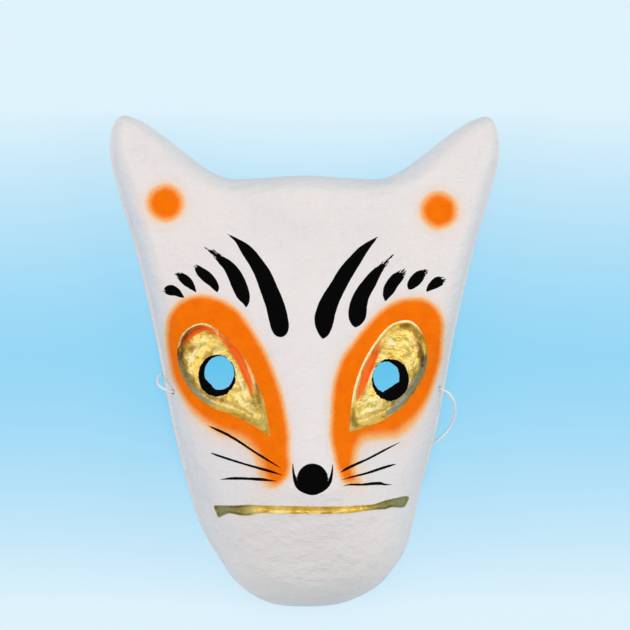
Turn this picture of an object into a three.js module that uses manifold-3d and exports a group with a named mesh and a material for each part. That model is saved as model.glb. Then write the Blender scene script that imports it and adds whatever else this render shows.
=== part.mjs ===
// A fox mask of moulded paper, lying on its rim with its face up.
// Millimetres. X runs across the face, Y from the chin to the ears, Z out of the face.
// The origin is in the middle of the rim's plane, on the surface that the mask lies on.

import * as THREE from 'three';
import { mergeVertices } from 'three/addons/utils/BufferGeometryUtils.js';
import Module from 'manifold-3d';

// Ends of the face along Y
const CHIN_Y = -107.5;
const EAR_Y = 107.5;

// Outline of the rim, right half, seen from the front
const CHIN_TO_CHEEK = [[0, CHIN_Y], [17, -105.6], [31.2, -97.5], [41.3, -84], [46.6, -72], [50.4, -58],
  [57.6, -30]];
const CHEEK_TO_EAR = [[66, 12.5], [74.2, 48], [82.6, 77], [85.7, 91], [84.9, 101.5]];
const EAR_TO_FOREHEAD = [[82.6, 106.1], [79.5, EAR_Y], [75.8, 106.8], [70, 104], [62.5, 98.8],
  [52.5, 91], [42.2, 83.6], [33.5, 80], [20, 80.2], [0, 81.4]];
// The chin is pressed a little to one side
const CHIN_LEAN = 2.4;
const CHIN_LEAN_Y = -88;
const CHIN_LEAN_REACH = 26;

// Cross sections of the face, from the chin to the ears: how high the middle line and the sides stand
// over the rim, how blunt the middle line is, how full the section is (1 is a straight flank), and how
// wide the rounded edge is
const SECTIONS = [
  { y: CHIN_Y, middle: 30, side: 26, blunt: 20, full: 1.7, edge: 15 },
  { y: -96, middle: 43, side: 31, blunt: 20, full: 1.7, edge: 16 },
  { y: -80, middle: 56, side: 31, blunt: 18, full: 1.6, edge: 16 },
  { y: -63, middle: 67, side: 28, blunt: 16, full: 1.5, edge: 15 },
  { y: -51, middle: 72, side: 26, blunt: 12, full: 1.3, edge: 14 },
  { y: -22, middle: 59, side: 23, blunt: 9, full: 1.05, edge: 12 },
  { y: 5, middle: 48, side: 22, blunt: 12, full: 1, edge: 11 },
  { y: 35, middle: 38, side: 25, blunt: 24, full: 1.2, edge: 10 },
  { y: 62, middle: 33, side: 26, blunt: 30, full: 1.4, edge: 9 },
  { y: 82, middle: 30, side: 24, blunt: 30, full: 1.5, edge: 9 },
  { y: 95, middle: 24, side: 20, blunt: 30, full: 1.5, edge: 6.5 },
  { y: EAR_Y, middle: 18, side: 16, blunt: 30, full: 1.5, edge: 4.2 },
];

// The shell and its rim
const WALL = 2;
const LIP_WIDTH = 1.6;
const LIP_HEIGHT = 2.4;
const EDGE_SQUARENESS = 2.3;
const SIDE_LIFT = 4;
const SIDE_LIFT_Y = -22;
const SIDE_LIFT_REACH = 48;
const EAR_DISH = 1.8;
const EAR_DISH_START_Y = 68;
const EAR_DISH_FULL_Y = 88;
const EAR_DISH_WIDTH = 9;

// The eyes: almond outlines around the pupil, out from the nose and up, starting at the inner corner
const EYE_RECESS = 4.2;
const EYE_BULGE = 3.4;
const EYE_HOLE = 13;
const EYES = [
  {
    side: -1, pupil: [-38.8, -6.3], hole: [-38, -5.1],
    outline: [[-22, -25.3], [-18.6, -8.2], [-10.5, 8.9], [-1, 19], [7, 22.5], [14.5, 18.5],
      [17.2, 8.5], [12.5, -4.5], [3, -13.2], [-6.2, -16.7], [-14.3, -20.6]],
  },
  {
    side: 1, pupil: [35.3, -8], hole: [33.2, -7.1],
    outline: [[-18.9, -21.9], [-16.3, -3.5], [-10.5, 10.5], [0.6, 23.8], [9.5, 25], [16.2, 14.5],
      [14.9, 2.2], [5.9, -10.6], [-3.7, -17.2]],
  },
];

// The mouth: a groove across the muzzle
const MOUTH_LINE = [[-39.8, -64.4], [2, -62.4], [43.6, -60.8]];
const MOUTH_WIDTH = 4;
const MOUTH_DEPTH = 2;

// The string, its holes and its stopper knots
const STRING_DIAMETER = 1.2;
const STRING_HOLE_CLEARANCE = 0.7;
const STRING_HOLE = STRING_DIAMETER + 2 * STRING_HOLE_CLEARANCE;
const STRING_HOLES = [[-58, -13.4, 17.5], [58, -12, 17.5]];
const STRING_HOLE_TILT = 35;
const STRING_HOLE_LENGTH = 12;
const KNOT_DIAMETER = 3.4;
const KNOT_SIDES = 10;
const KNOT_ROWS = 6;
const STRING_ROUTE = [
  [54.6, -11.8, 15], [58, -12.2, 17.5], [61.2, -13.6, 18.3], [63.8, -16.6, 15.6], [65.2, -20.6, 10.6],
  [65.4, -24.6, 5.2], [63.8, -29.2, 1.6], [60, -33.6, 0.65], [50, -41, 0.65], [34, -50, 0.65],
  [10, -56, 0.65], [-16, -53, 0.65], [-33, -40, 0.65], [-35, -22, 0.65], [-24, -8, 0.65],
  [-4, -2, 0.65], [20, 4, 0.65], [36, 17, 0.65], [38, 36, 0.65], [22, 50, 0.65], [-2, 54, 0.65],
  [-26, 48, 0.65], [-42, 34, 0.65], [-49, 14, 0.65], [-54, 1, 0.65], [-58.5, -4.4, 0.65],
  [-62.4, -5.6, 1.7], [-64.2, -7, 5.4], [-64.6, -8.6, 10.6], [-63.9, -10.6, 15.8],
  [-61.2, -12.4, 18.4], [-58, -13.4, 17.5], [-54.6, -13.4, 15],
];

// How finely the surfaces are divided
const CHEEK_COLUMNS = 22;
const EAR_COLUMNS = 20;
const EDGE_ROWS = 6;
const FACE_ROWS = 7;
const EYE_COLUMNS = 32;
const EYE_RINGS = 4;
const MOUTH_COLUMNS = 22;
const STRING_STEPS = 80;
const STRING_SIDES = 8;
const DRILL_SIDES = 24;
const POINT_DIVISIONS = 40;
const SLOPE_STEP = 0.01;

// The shell's columns run from the rim to a line down the middle that forks into the ears
const MIDDLE_LINE_START_Y = -84;
const FORK_Y = 32;
const EAR_LINE_BEND = [56, 50];
const EAR_LINE_END = [77, 98];
const EAR_CROWDING = 0.55;

// A pressed place's backing begins this deep in the wall
const BACKING_DEPTH = 1.2;

// Cuts reach above every surface
const cutHeight = Math.max(...SECTIONS.map(({ middle }) => middle)) + WALL;

const wasm = await Module();
wasm.setup();

// A smooth curve of values over y through the given sections
function smoothOver(ys, values) {
  const slopes = ys.map((_, i) => {
    const before = Math.max(i - 1, 0);
    const after = Math.min(i + 1, ys.length - 1);
    return (values[after] - values[before]) / (ys[after] - ys[before]);
  });
  return (y) => {
    const at = THREE.MathUtils.clamp(y, ys[0], ys[ys.length - 1]);
    let i = 0;
    while (i < ys.length - 2 && at > ys[i + 1]) i += 1;
    const step = ys[i + 1] - ys[i];
    const t = (at - ys[i]) / step;
    const rise = t * t * (3 - 2 * t);
    return values[i] * (1 - rise) + values[i + 1] * rise
      + step * t * (1 - t) * ((1 - t) * slopes[i] - t * slopes[i + 1]);
  };
}

const sectionYs = SECTIONS.map((section) => section.y);
const sectionCurve = (key) => smoothOver(sectionYs, SECTIONS.map((section) => section[key]));
const middleHeight = sectionCurve('middle');
const sideHeight = sectionCurve('side');
const bluntWidth = sectionCurve('blunt');
const fullness = sectionCurve('full');
const edgeWidth = sectionCurve('edge');

// A soft hump of height 1 around a place
function hump(at, centre, reach) {
  const away = Math.min(Math.abs(at - centre) / reach, 1);
  return Math.cos(away * Math.PI / 2) ** 2;
}

const lean = (y) => CHIN_LEAN * hump(y, CHIN_LEAN_Y, CHIN_LEAN_REACH);
const rimHeight = (y) => SIDE_LIFT * hump(y, SIDE_LIFT_Y, SIDE_LIFT_REACH);

const rightHalf = [...CHIN_TO_CHEEK, ...CHEEK_TO_EAR, ...EAR_TO_FOREHEAD];
const leftHalf = rightHalf.slice(1, -1).reverse().map(([x, y]) => [-x, y]);
const rim = new THREE.CatmullRomCurve3(
  [...rightHalf, ...leftHalf].map(([x, y]) => new THREE.Vector3(x + lean(y), y, 0)),
  true,
  'centripetal',
);
rim.arcLengthDivisions = POINT_DIVISIONS * rim.points.length;
const rimPolyline = rim.getSpacedPoints(rim.arcLengthDivisions);

const sideYs = [...CHIN_TO_CHEEK, ...CHEEK_TO_EAR, EAR_TO_FOREHEAD[0]].map(([, y]) => y);
const sideXs = [...CHIN_TO_CHEEK, ...CHEEK_TO_EAR, EAR_TO_FOREHEAD[0]].map(([x]) => x);
const halfWidth = smoothOver(sideYs, sideXs);

// Distance from a place inside the outline to the rim
function distanceToRim(x, y) {
  let nearest = Infinity;
  for (const point of rimPolyline) {
    nearest = Math.min(nearest, Math.hypot(point.x - x, point.y - y));
  }
  return nearest;
}

// Height of the face without its rounded edge
function faceHeight(x, y) {
  const width = Math.max(halfWidth(y), bluntWidth(y));
  const out = Math.min(Math.abs(x - lean(y)) / width, 1);
  const blunt = bluntWidth(y) / width;
  const away = (Math.hypot(out, blunt) - blunt) / (Math.hypot(1, blunt) - blunt);
  return sideHeight(y) + (middleHeight(y) - sideHeight(y)) * (1 - away ** fullness(y));
}

// Height of the outer surface over any place inside the outline
function surfaceHeight(x, y, distance = distanceToRim(x, y)) {
  const edge = edgeWidth(y);
  const base = rimHeight(y);
  if (distance < LIP_WIDTH) return base + LIP_HEIGHT * distance / LIP_WIDTH;
  const inset = Math.min((distance - LIP_WIDTH) / (edge - LIP_WIDTH), 1);
  const rise = (1 - (1 - inset) ** EDGE_SQUARENESS) ** (1 / EDGE_SQUARENESS);
  const ear = THREE.MathUtils.smoothstep(y, EAR_DISH_START_Y, EAR_DISH_FULL_Y);
  const dish = EAR_DISH * ear * THREE.MathUtils.smoothstep(distance, edge, edge + EAR_DISH_WIDTH);
  const foot = base + LIP_HEIGHT;
  return foot + (faceHeight(x, y) - foot) * rise - dish;
}

const fork = new THREE.Vector2(0, FORK_Y);
const middleLine = new THREE.LineCurve(
  new THREE.Vector2(lean(CHIN_LEAN_Y), MIDDLE_LINE_START_Y),
  fork,
);
const earLine = new THREE.QuadraticBezierCurve(
  fork,
  new THREE.Vector2(...EAR_LINE_BEND),
  new THREE.Vector2(...EAR_LINE_END),
);

// Share of the rim's length at one of the right half's points
function shareAtPoint(index) {
  const lengths = rim.getLengths();
  return lengths[POINT_DIVISIONS * index] / lengths[lengths.length - 1];
}

// Columns lie closer together towards the ear's tip
const crowd = (t) => THREE.MathUtils.lerp(t, Math.sin(t * Math.PI / 2), EAR_CROWDING);

function rimColumn(share, inner) {
  const point = rim.getPointAt(share);
  const tangent = rim.getTangentAt(share);
  return {
    edge: new THREE.Vector2(point.x, point.y),
    inward: new THREE.Vector2(-tangent.y, tangent.x).normalize(),
    inner,
  };
}

function shellColumns() {
  const cheek = shareAtPoint(CHIN_TO_CHEEK.length);
  const earTip = shareAtPoint(CHIN_TO_CHEEK.length + CHEEK_TO_EAR.length);
  const stops = [];
  for (let i = 0; i < CHEEK_COLUMNS; i += 1) {
    const t = i / CHEEK_COLUMNS;
    stops.push({ share: cheek * t, inner: middleLine.getPoint(t), mirrored: 1 });
  }
  const earStop = (from, t) => ({
    share: THREE.MathUtils.lerp(from, earTip, crowd(t)),
    inner: earLine.getPoint(t),
    mirrored: -1,
  });
  for (let i = 0; i <= EAR_COLUMNS; i += 1) stops.push(earStop(cheek, i / EAR_COLUMNS));
  for (let i = EAR_COLUMNS - 1; i >= 0; i -= 1) stops.push(earStop(0.5, i / EAR_COLUMNS));
  const right = stops.map(({ share, inner }) => rimColumn(share, inner));
  const left = stops.slice(1, -1).reverse().map(({ share, inner, mirrored }) => (
    rimColumn(1 - share, new THREE.Vector2(inner.x * mirrored, inner.y))
  ));
  return [...right, ...left];
}

// Places of one column's points: the lip, the rounded edge, then the face in even steps
function outerLine({ edge, inward, inner }) {
  const width = edgeWidth(edge.y);
  const distances = [0, LIP_WIDTH];
  for (let row = 1; row <= EDGE_ROWS; row += 1) {
    const inset = 1 - Math.cos(row / EDGE_ROWS * Math.PI / 2) ** (2 / EDGE_SQUARENESS);
    distances.push(LIP_WIDTH + (width - LIP_WIDTH) * inset);
  }
  const line = distances.map((distance) => {
    const { x, y } = edge.clone().addScaledVector(inward, distance);
    return new THREE.Vector3(x, y, surfaceHeight(x, y, distance));
  });
  const face = edge.clone().addScaledVector(inward, width);
  for (let row = 1; row <= FACE_ROWS; row += 1) {
    const { x, y } = face.clone().lerp(inner, row / FACE_ROWS);
    line.push(new THREE.Vector3(x, y, surfaceHeight(x, y)));
  }
  return line;
}

// The inner surface lies one wall under the outer one, on every second row
function innerLine(column, outer, before, after) {
  const lastRow = outer.length - 1;
  const slant = Math.hypot(LIP_WIDTH, LIP_HEIGHT) / LIP_HEIGHT;
  const foot = column.edge.clone().addScaledVector(column.inward, WALL * slant);
  const line = [new THREE.Vector3(foot.x, foot.y, rimHeight(column.edge.y))];
  for (let row = 2; row < lastRow; row += 2) {
    const across = after[row].clone().sub(before[row]);
    const inwards = outer[row + 1].clone().sub(outer[row - 1]);
    line.push(outer[row].clone().addScaledVector(across.cross(inwards).normalize(), -WALL));
  }
  const { x, y } = outer[lastRow];
  const normal = new THREE.Vector3(
    faceHeight(x - SLOPE_STEP, y) - faceHeight(x + SLOPE_STEP, y),
    faceHeight(x, y - SLOPE_STEP) - faceHeight(x, y + SLOPE_STEP),
    2 * SLOPE_STEP,
  );
  line.push(outer[lastRow].clone().addScaledVector(normal.normalize(), -WALL));
  return line;
}

// Triangles between neighbouring lines of points, the last line joined to the first
function skin(lines) {
  return lines.flatMap((line, i) => {
    const next = lines[(i + 1) % lines.length];
    return line.slice(1).flatMap((_, j) => {
      const [a, b, c, d] = [line[j], next[j], next[j + 1], line[j + 1]];
      return a.distanceTo(c) < b.distanceTo(d) ? [[a, b, c], [a, c, d]] : [[a, b, d], [b, c, d]];
    });
  });
}

const flipped = (triangles) => triangles.map(([a, b, c]) => [a, c, b]);

function geometryFrom(triangles) {
  const positions = triangles.flatMap((triangle) => triangle.flatMap((point) => point.toArray()));
  const geometry = new THREE.BufferGeometry();
  geometry.setAttribute('position', new THREE.Float32BufferAttribute(positions, 3));
  return geometry;
}

function toSolid(geometry) {
  geometry.deleteAttribute('normal');
  geometry.deleteAttribute('uv');
  const merged = mergeVertices(geometry);
  const corners = Array.from(merged.index.array);
  const triangles = [];
  for (let i = 0; i < corners.length; i += 3) {
    const [a, b, c] = corners.slice(i, i + 3);
    if (a !== b && b !== c && c !== a) triangles.push(a, b, c);
  }
  return new wasm.Manifold(new wasm.Mesh({
    numProp: 3,
    vertProperties: new Float32Array(merged.attributes.position.array),
    triVerts: new Uint32Array(triangles),
  }));
}

function fromSolid(solid) {
  const { vertProperties, triVerts } = solid.getMesh();
  const geometry = new THREE.BufferGeometry();
  geometry.setAttribute('position', new THREE.BufferAttribute(new Float32Array(vertProperties), 3));
  geometry.setIndex(new THREE.BufferAttribute(new Uint32Array(triVerts), 1));
  geometry.computeVertexNormals();
  return geometry;
}

function shellSolid() {
  const columns = shellColumns();
  const count = columns.length;
  const outer = columns.map(outerLine);
  const inner = outer.map((line, i) => (
    innerLine(columns[i], line, outer[(i + count - 1) % count], outer[(i + 1) % count])
  ));
  const rimFace = outer.map((line, i) => [inner[i][0], line[0]]);
  return toSolid(geometryFrom([...skin(outer), ...flipped(skin(inner)), ...skin(rimFace)]));
}

// A block over a patch of the plan, between a top and a bottom surface
function block(patch, top, bottom) {
  const raise = (height) => patch.points.map(([x, y, share]) => (
    new THREE.Vector3(x, y, height(x, y, share))
  ));
  const roof = raise(top);
  const floor = raise(bottom);
  const edges = patch.triangles.flatMap(([a, b, c]) => [[a, b], [b, c], [c, a]]);
  const known = new Set(edges.map(([a, b]) => `${a} ${b}`));
  const border = edges.filter(([a, b]) => !known.has(`${b} ${a}`));
  return toSolid(geometryFrom([
    ...patch.triangles.map(([a, b, c]) => [roof[a], roof[b], roof[c]]),
    ...patch.triangles.map(([a, b, c]) => [floor[a], floor[c], floor[b]]),
    ...border.flatMap(([a, b]) => [[floor[a], floor[b], roof[b]], [floor[a], roof[b], roof[a]]]),
  ]));
}

// An eye's almond as rings around the pupil, grown by the given width
function eyePatch({ side, pupil, outline }, grown) {
  const corners = outline.map(([out, up]) => new THREE.Vector3(out * side, up, 0));
  const almond = new THREE.CatmullRomCurve3([...corners, corners[0]], false, 'centripetal');
  const loop = almond.getSpacedPoints(EYE_COLUMNS).slice(0, EYE_COLUMNS);
  if (THREE.ShapeUtils.isClockWise(loop)) loop.reverse();
  const border = loop.map((point, i) => {
    const before = loop[(i + EYE_COLUMNS - 1) % EYE_COLUMNS];
    const after = loop[(i + 1) % EYE_COLUMNS];
    const outward = new THREE.Vector2(after.y - before.y, before.x - after.x).normalize();
    return outward.multiplyScalar(grown).add(point);
  });
  const points = [[pupil[0], pupil[1], 0]];
  for (let ring = 1; ring <= EYE_RINGS; ring += 1) {
    const share = ring / EYE_RINGS;
    border.forEach(({ x, y }) => points.push([pupil[0] + x * share, pupil[1] + y * share, share]));
  }
  const triangles = [];
  for (let i = 0; i < EYE_COLUMNS; i += 1) {
    const next = (i + 1) % EYE_COLUMNS;
    triangles.push([0, 1 + i, 1 + next]);
    for (let ring = 1; ring < EYE_RINGS; ring += 1) {
      const [a, b] = [1 + (ring - 1) * EYE_COLUMNS + i, 1 + (ring - 1) * EYE_COLUMNS + next];
      const [c, d] = [a + EYE_COLUMNS, b + EYE_COLUMNS];
      triangles.push([a, c, d], [a, d, b]);
    }
  }
  return { points, triangles };
}

// The mouth's strip, grown by the given width
function mouthPatch(grown) {
  const line = new THREE.SplineCurve(MOUTH_LINE.map(([x, y]) => new THREE.Vector2(x, y)));
  const half = MOUTH_WIDTH / 2 + grown;
  const points = [];
  const triangles = [];
  for (let i = 0; i <= MOUTH_COLUMNS; i += 1) {
    const t = i / MOUTH_COLUMNS;
    const tangent = line.getTangent(t);
    const at = line.getPoint(t).addScaledVector(tangent, grown * Math.sign(Math.round(2 * t - 1)));
    points.push([at.x + tangent.y * half, at.y - tangent.x * half, 1]);
    points.push([at.x - tangent.y * half, at.y + tangent.x * half, 1]);
    if (i > 0) triangles.push([2 * i - 2, 2 * i, 2 * i + 1], [2 * i - 2, 2 * i + 1, 2 * i - 1]);
  }
  return { points, triangles };
}

// A round hole through the given place, along the given direction
function drill(diameter, place, direction, length) {
  const geometry = new THREE.CylinderGeometry(diameter / 2, diameter / 2, length, DRILL_SIDES);
  const turn = new THREE.Quaternion().setFromUnitVectors(new THREE.Vector3(0, 1, 0), direction);
  geometry.applyQuaternion(turn).translate(place.x, place.y, place.z);
  return toSolid(geometry);
}

const highAbove = () => cutHeight;
const insideWall = (x, y) => surfaceHeight(x, y) - BACKING_DEPTH;
const mouthFloor = (x, y) => surfaceHeight(x, y) - MOUTH_DEPTH;
const eyeball = (x, y, share) => surfaceHeight(x, y) - EYE_RECESS + EYE_BULGE * (1 - share * share);

// Presses a patch of the shell inwards, its wall as thick as elsewhere
function pressIn(shell, patch, wallPatch, floor) {
  const backing = block(wallPatch, insideWall, (x, y, share) => floor(x, y, share) - WALL);
  return shell.add(backing).subtract(block(patch, highAbove, floor));
}

function maskSolid() {
  let mask = pressIn(shellSolid(), mouthPatch(0), mouthPatch(WALL), mouthFloor);
  EYES.forEach((eye) => {
    mask = pressIn(mask, eyePatch(eye, 0), eyePatch(eye, WALL), eyeball);
    const place = new THREE.Vector3(eye.hole[0], eye.hole[1], 0);
    mask = mask.subtract(drill(EYE_HOLE, place, new THREE.Vector3(0, 0, 1), 2 * cutHeight));
  });
  const tilt = THREE.MathUtils.degToRad(STRING_HOLE_TILT);
  STRING_HOLES.forEach(([x, y, z]) => {
    const direction = new THREE.Vector3(Math.sign(x) * Math.cos(tilt), 0, Math.sin(tilt));
    mask = mask.subtract(drill(STRING_HOLE, new THREE.Vector3(x, y, z), direction, STRING_HOLE_LENGTH));
  });
  return mask;
}

function stringSolid() {
  const route = new THREE.CatmullRomCurve3(STRING_ROUTE.map((point) => new THREE.Vector3(...point)));
  const section = new THREE.Shape();
  for (let i = 0; i < STRING_SIDES; i += 1) {
    const angle = 2 * Math.PI * (i + 0.5) / STRING_SIDES;
    const [x, y] = [Math.cos(angle) * STRING_DIAMETER / 2, Math.sin(angle) * STRING_DIAMETER / 2];
    if (i === 0) section.moveTo(x, y);
    else section.lineTo(x, y);
  }
  const tube = new THREE.ExtrudeGeometry(section, { steps: STRING_STEPS, extrudePath: route });
  const knots = [STRING_ROUTE[0], STRING_ROUTE[STRING_ROUTE.length - 1]].map((place) => (
    toSolid(new THREE.SphereGeometry(KNOT_DIAMETER / 2, KNOT_SIDES, KNOT_ROWS).translate(...place))
  ));
  return toSolid(tube).add(knots[0]).add(knots[1]);
}

const mask = new THREE.Mesh(
  fromSolid(maskSolid()),
  new THREE.MeshStandardMaterial({ color: '#f2f0ee', roughness: 0.6, metalness: 0 }),
);
mask.name = 'mask';

const string = new THREE.Mesh(
  fromSolid(stringSolid()),
  new THREE.MeshStandardMaterial({ color: '#f7f7f5', roughness: 0.8, metalness: 0 }),
);
string.name = 'string';

const foxMask = new THREE.Group();
foxMask.add(mask, string);

export default foxMask;
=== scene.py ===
import math

import bmesh
import bpy
import numpy as np
from mathutils import Matrix, Vector, noise
from mathutils.geometry import delaunay_2d_cdt
from mathutils.kdtree import KDTree


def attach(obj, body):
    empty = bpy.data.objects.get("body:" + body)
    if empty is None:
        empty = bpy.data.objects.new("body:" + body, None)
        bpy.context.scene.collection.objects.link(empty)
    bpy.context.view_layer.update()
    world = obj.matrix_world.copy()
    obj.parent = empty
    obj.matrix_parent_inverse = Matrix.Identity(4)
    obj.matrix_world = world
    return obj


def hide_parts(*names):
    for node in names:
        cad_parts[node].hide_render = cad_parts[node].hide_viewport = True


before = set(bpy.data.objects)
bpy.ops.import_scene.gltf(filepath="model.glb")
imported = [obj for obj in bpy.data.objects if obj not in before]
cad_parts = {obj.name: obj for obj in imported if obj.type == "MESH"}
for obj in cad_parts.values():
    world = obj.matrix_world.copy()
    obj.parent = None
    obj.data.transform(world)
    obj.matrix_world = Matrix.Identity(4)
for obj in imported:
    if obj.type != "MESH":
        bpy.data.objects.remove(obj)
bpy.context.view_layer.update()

# A fox mask of moulded and painted paper, lying on its rim with its face up.
# Sizes are in millimetres, in the part's own frame: X across the face, Y from the chin to the ears,
# Z out of the face, and the origin on the surface that the mask lies on.
MM = 0.001

# The camera, and the width that it sees at the rim's plane
CAMERA_PLACE = (-50, 0, 1299)
CAMERA_AIM = (4.4, 20.2, 0)
SEEN_WIDTH = 277.2
SENSOR_WIDTH = 36
# In metres
SEEN_FROM_TO = (0.05, 20)

# Outline of the rim, right half, and the chin's lean
CHIN_TO_CHEEK = [(0, -107.5), (17, -105.6), (31.2, -97.5), (41.3, -84), (46.6, -72), (50.4, -58),
                 (57.6, -30)]
CHEEK_TO_EAR = [(66, 12.5), (74.2, 48), (82.6, 77), (85.7, 91), (84.9, 101.5)]
EAR_TO_FOREHEAD = [(82.6, 106.1), (79.5, 107.5), (75.8, 106.8), (70, 104), (62.5, 98.8),
                   (52.5, 91), (42.2, 83.6), (33.5, 80), (20, 80.2), (0, 81.4)]
CHIN_LEAN = 2.4
CHIN_LEAN_Y = -88
CHIN_LEAN_REACH = 26

# Cross sections: y, height of the middle line, height of the sides, bluntness, fullness, edge width
SECTIONS = [
    (-107.5, 30, 26, 20, 1.7, 15),
    (-96, 43, 31, 20, 1.7, 16),
    (-80, 56, 31, 18, 1.6, 16),
    (-63, 67, 28, 16, 1.5, 15),
    (-51, 72, 26, 12, 1.3, 14),
    (-22, 59, 23, 9, 1.05, 12),
    (5, 48, 22, 12, 1, 11),
    (35, 38, 25, 24, 1.2, 10),
    (62, 33, 26, 30, 1.4, 9),
    (82, 30, 24, 30, 1.5, 9),
    (95, 24, 20, 30, 1.5, 6.5),
    (107.5, 18, 16, 30, 1.5, 4.2),
]

# The shell, its rim and the dished ears
WALL = 2
LIP_WIDTH = 1.6
LIP_HEIGHT = 2.4
LIP_ROUNDNESS = 2.6
LIP_LEAST = 0.01
EDGE_SQUARENESS = 2.3
# At the top and the chin the edge has no lip, and between the ears it is wider and rounder
ROUND_TURN = (0.35, 0.8)
ROUND_WIDER = 1.2
ROUND_FADES_OVER = (86, 98)
ROUND_SQUARENESS = 2.15
SIDE_LIFT = 4
SIDE_LIFT_Y = -22
SIDE_LIFT_REACH = 48
EAR_DISH = 1.8
EAR_DISH_START_Y = 68
EAR_DISH_FULL_Y = 88
EAR_DISH_WIDTH = 9

# The eyes: almond outlines around the pupil, out from the nose and up, from the inner corner
EYE_RECESS = 4.2
EYE_BULGE = 3.4
EYE_GROOVE = 1.1
EYE_GROOVE_WIDTH = 1.1
EYE_WALL_NARROW = 1.1
EYE_WALL_WIDE = 3.1
EYE_WALL_CURVE = 1.8
EYE_LIP = 0.25
EYE_LIP_WIDTH = 0.45
# An eye's bright edge, turn and reach give the side that faces the light: a ledge there, and a painted
# highlight along it
EYES = [
    {
        "side": -1, "pupil": (-38.8, -6.3), "hole": (-38, -5.1), "hole_size": (12.6, 14.4),
        "torn": (222, 6), "bright_edge": 0.3, "bright_turn": 117, "bright_reach": (0.86, 0.97),
        "outline": [(-22, -25.3), (-18.6, -8.2), (-10.5, 8.9), (-1, 19), (7, 22.5), (14.5, 18.5),
                    (17.2, 8.5), (12.5, -4.5), (3, -13.2), (-6.2, -16.7), (-14.3, -20.6)],
    },
    {
        "side": 1, "pupil": (35.3, -8), "hole": (33.4, -6.9), "hole_size": (11.8, 13.2),
        "torn": (-59, 4.7), "bright_edge": 0.5, "bright_turn": 134, "bright_reach": (0.12, 0.42),
        "outline": [(-18.9, -21.9), (-16.3, -3.5), (-10.5, 10.5), (0.6, 23.8), (9.5, 25), (16.2, 14.5),
                    (14.9, 2.2), (5.9, -10.6), (-3.7, -17.2)],
    },
]

# The mouth's groove
MOUTH_DEPTH = 2
MOUTH_EDGE = 1.1
MOUTH_LIP = 0.2
MOUTH_LIP_WIDTH = 0.5

# The inside follows the eyes and the mouth over a slope around each, and is thinned upright by the eyes
INNER_MOUTH_SLOPE = (-WALL - 0.8, 0.2)
INNER_EYE_SLOPE = (-WALL - 0.6, 0.4)
UPRIGHT_BY_EYES = (-6, -0.5)
STEEPEST = 0.5

# The lumps of pressed paper and the dabs in the gold: height, size and shift of each layer of noise,
# and how far from the rim and from the gold's border they start
OUTER_LUMPS = ((0.28, 19, 0), (0.1, 7, 40))
INNER_LUMPS = ((0.12, 9, 160),)
GOLD_DABS = ((0.34, 4.4, 80), (0.08, 1.8, 120))
OUTER_LUMPS_START = (0.5, 4)
INNER_LUMPS_START = (2, 8)
LUMPS_LEAVE_GOLD = (0, 2)
GOLD_DABS_START = (0.3, 1.6)

# Ragged eye holes: waves around the hole, their share and shift; then the torn side's roughness
HOLE_UNEVEN = 0.035
HOLE_WAVES = ((3, 1, 0), (9, 0.6, 5))
TORN_HEIGHT = 0.25
TORN_SIZE = 1.3
# Edges that turn by more degrees than this stay sharp
SHARP_TURN = 60

# The string: its diameter, its holes and its way out of one hole, under the mask and into the other
STRING_DIAMETER = 1.2
STRING_STRANDS = 3
STRING_PITCH = 3.4
STRING_LOBES = 0.16
STRING_SIDES = 12
STRING_STEP = 0.5
STRING_HOLES = [(-58, -13.4), (58, -12)]
STRING_HOLE_SIZE = (1.5, 2.6)
KNOT_SIZE = 1.15
KNOT_STRAND = 0.52
KNOT_HEIGHT = 1.5
KNOT_STEPS = 60
KNOT_SIDES = 10
# The first ring of a tube is laid out across this way
TUBE_START = (0.3, 0.2, 1)
STRING_ROUTE = [
    (54.6, -11.8, 15), (58, -12.2, 17.5), (61.2, -13.6, 18.3), (63.8, -16.6, 15.6), (65.2, -20.6, 10.6),
    (65.4, -24.6, 5.2), (63.8, -29.2, 1.6), (60, -33.6, 0.65), (50, -41, 0.65), (34, -50, 0.65),
    (10, -56, 0.65), (-16, -53, 0.65), (-33, -40, 0.65), (-35, -22, 0.65), (-24, -8, 0.65),
    (-4, -2, 0.65), (20, 4, 0.65), (36, 17, 0.65), (38, 36, 0.65), (22, 50, 0.65), (-2, 54, 0.65),
    (-26, 48, 0.65), (-42, 34, 0.65), (-49, 14, 0.65), (-54, 1, 0.65), (-58.5, -4.4, 0.65),
    (-62.4, -5.6, 1.7), (-64.2, -7, 5.4), (-64.6, -8.6, 10.6), (-63.9, -10.6, 15.8),
    (-61.2, -12.4, 18.4), (-58, -13.4, 17.5), (-54.6, -13.4, 15),
]

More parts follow.
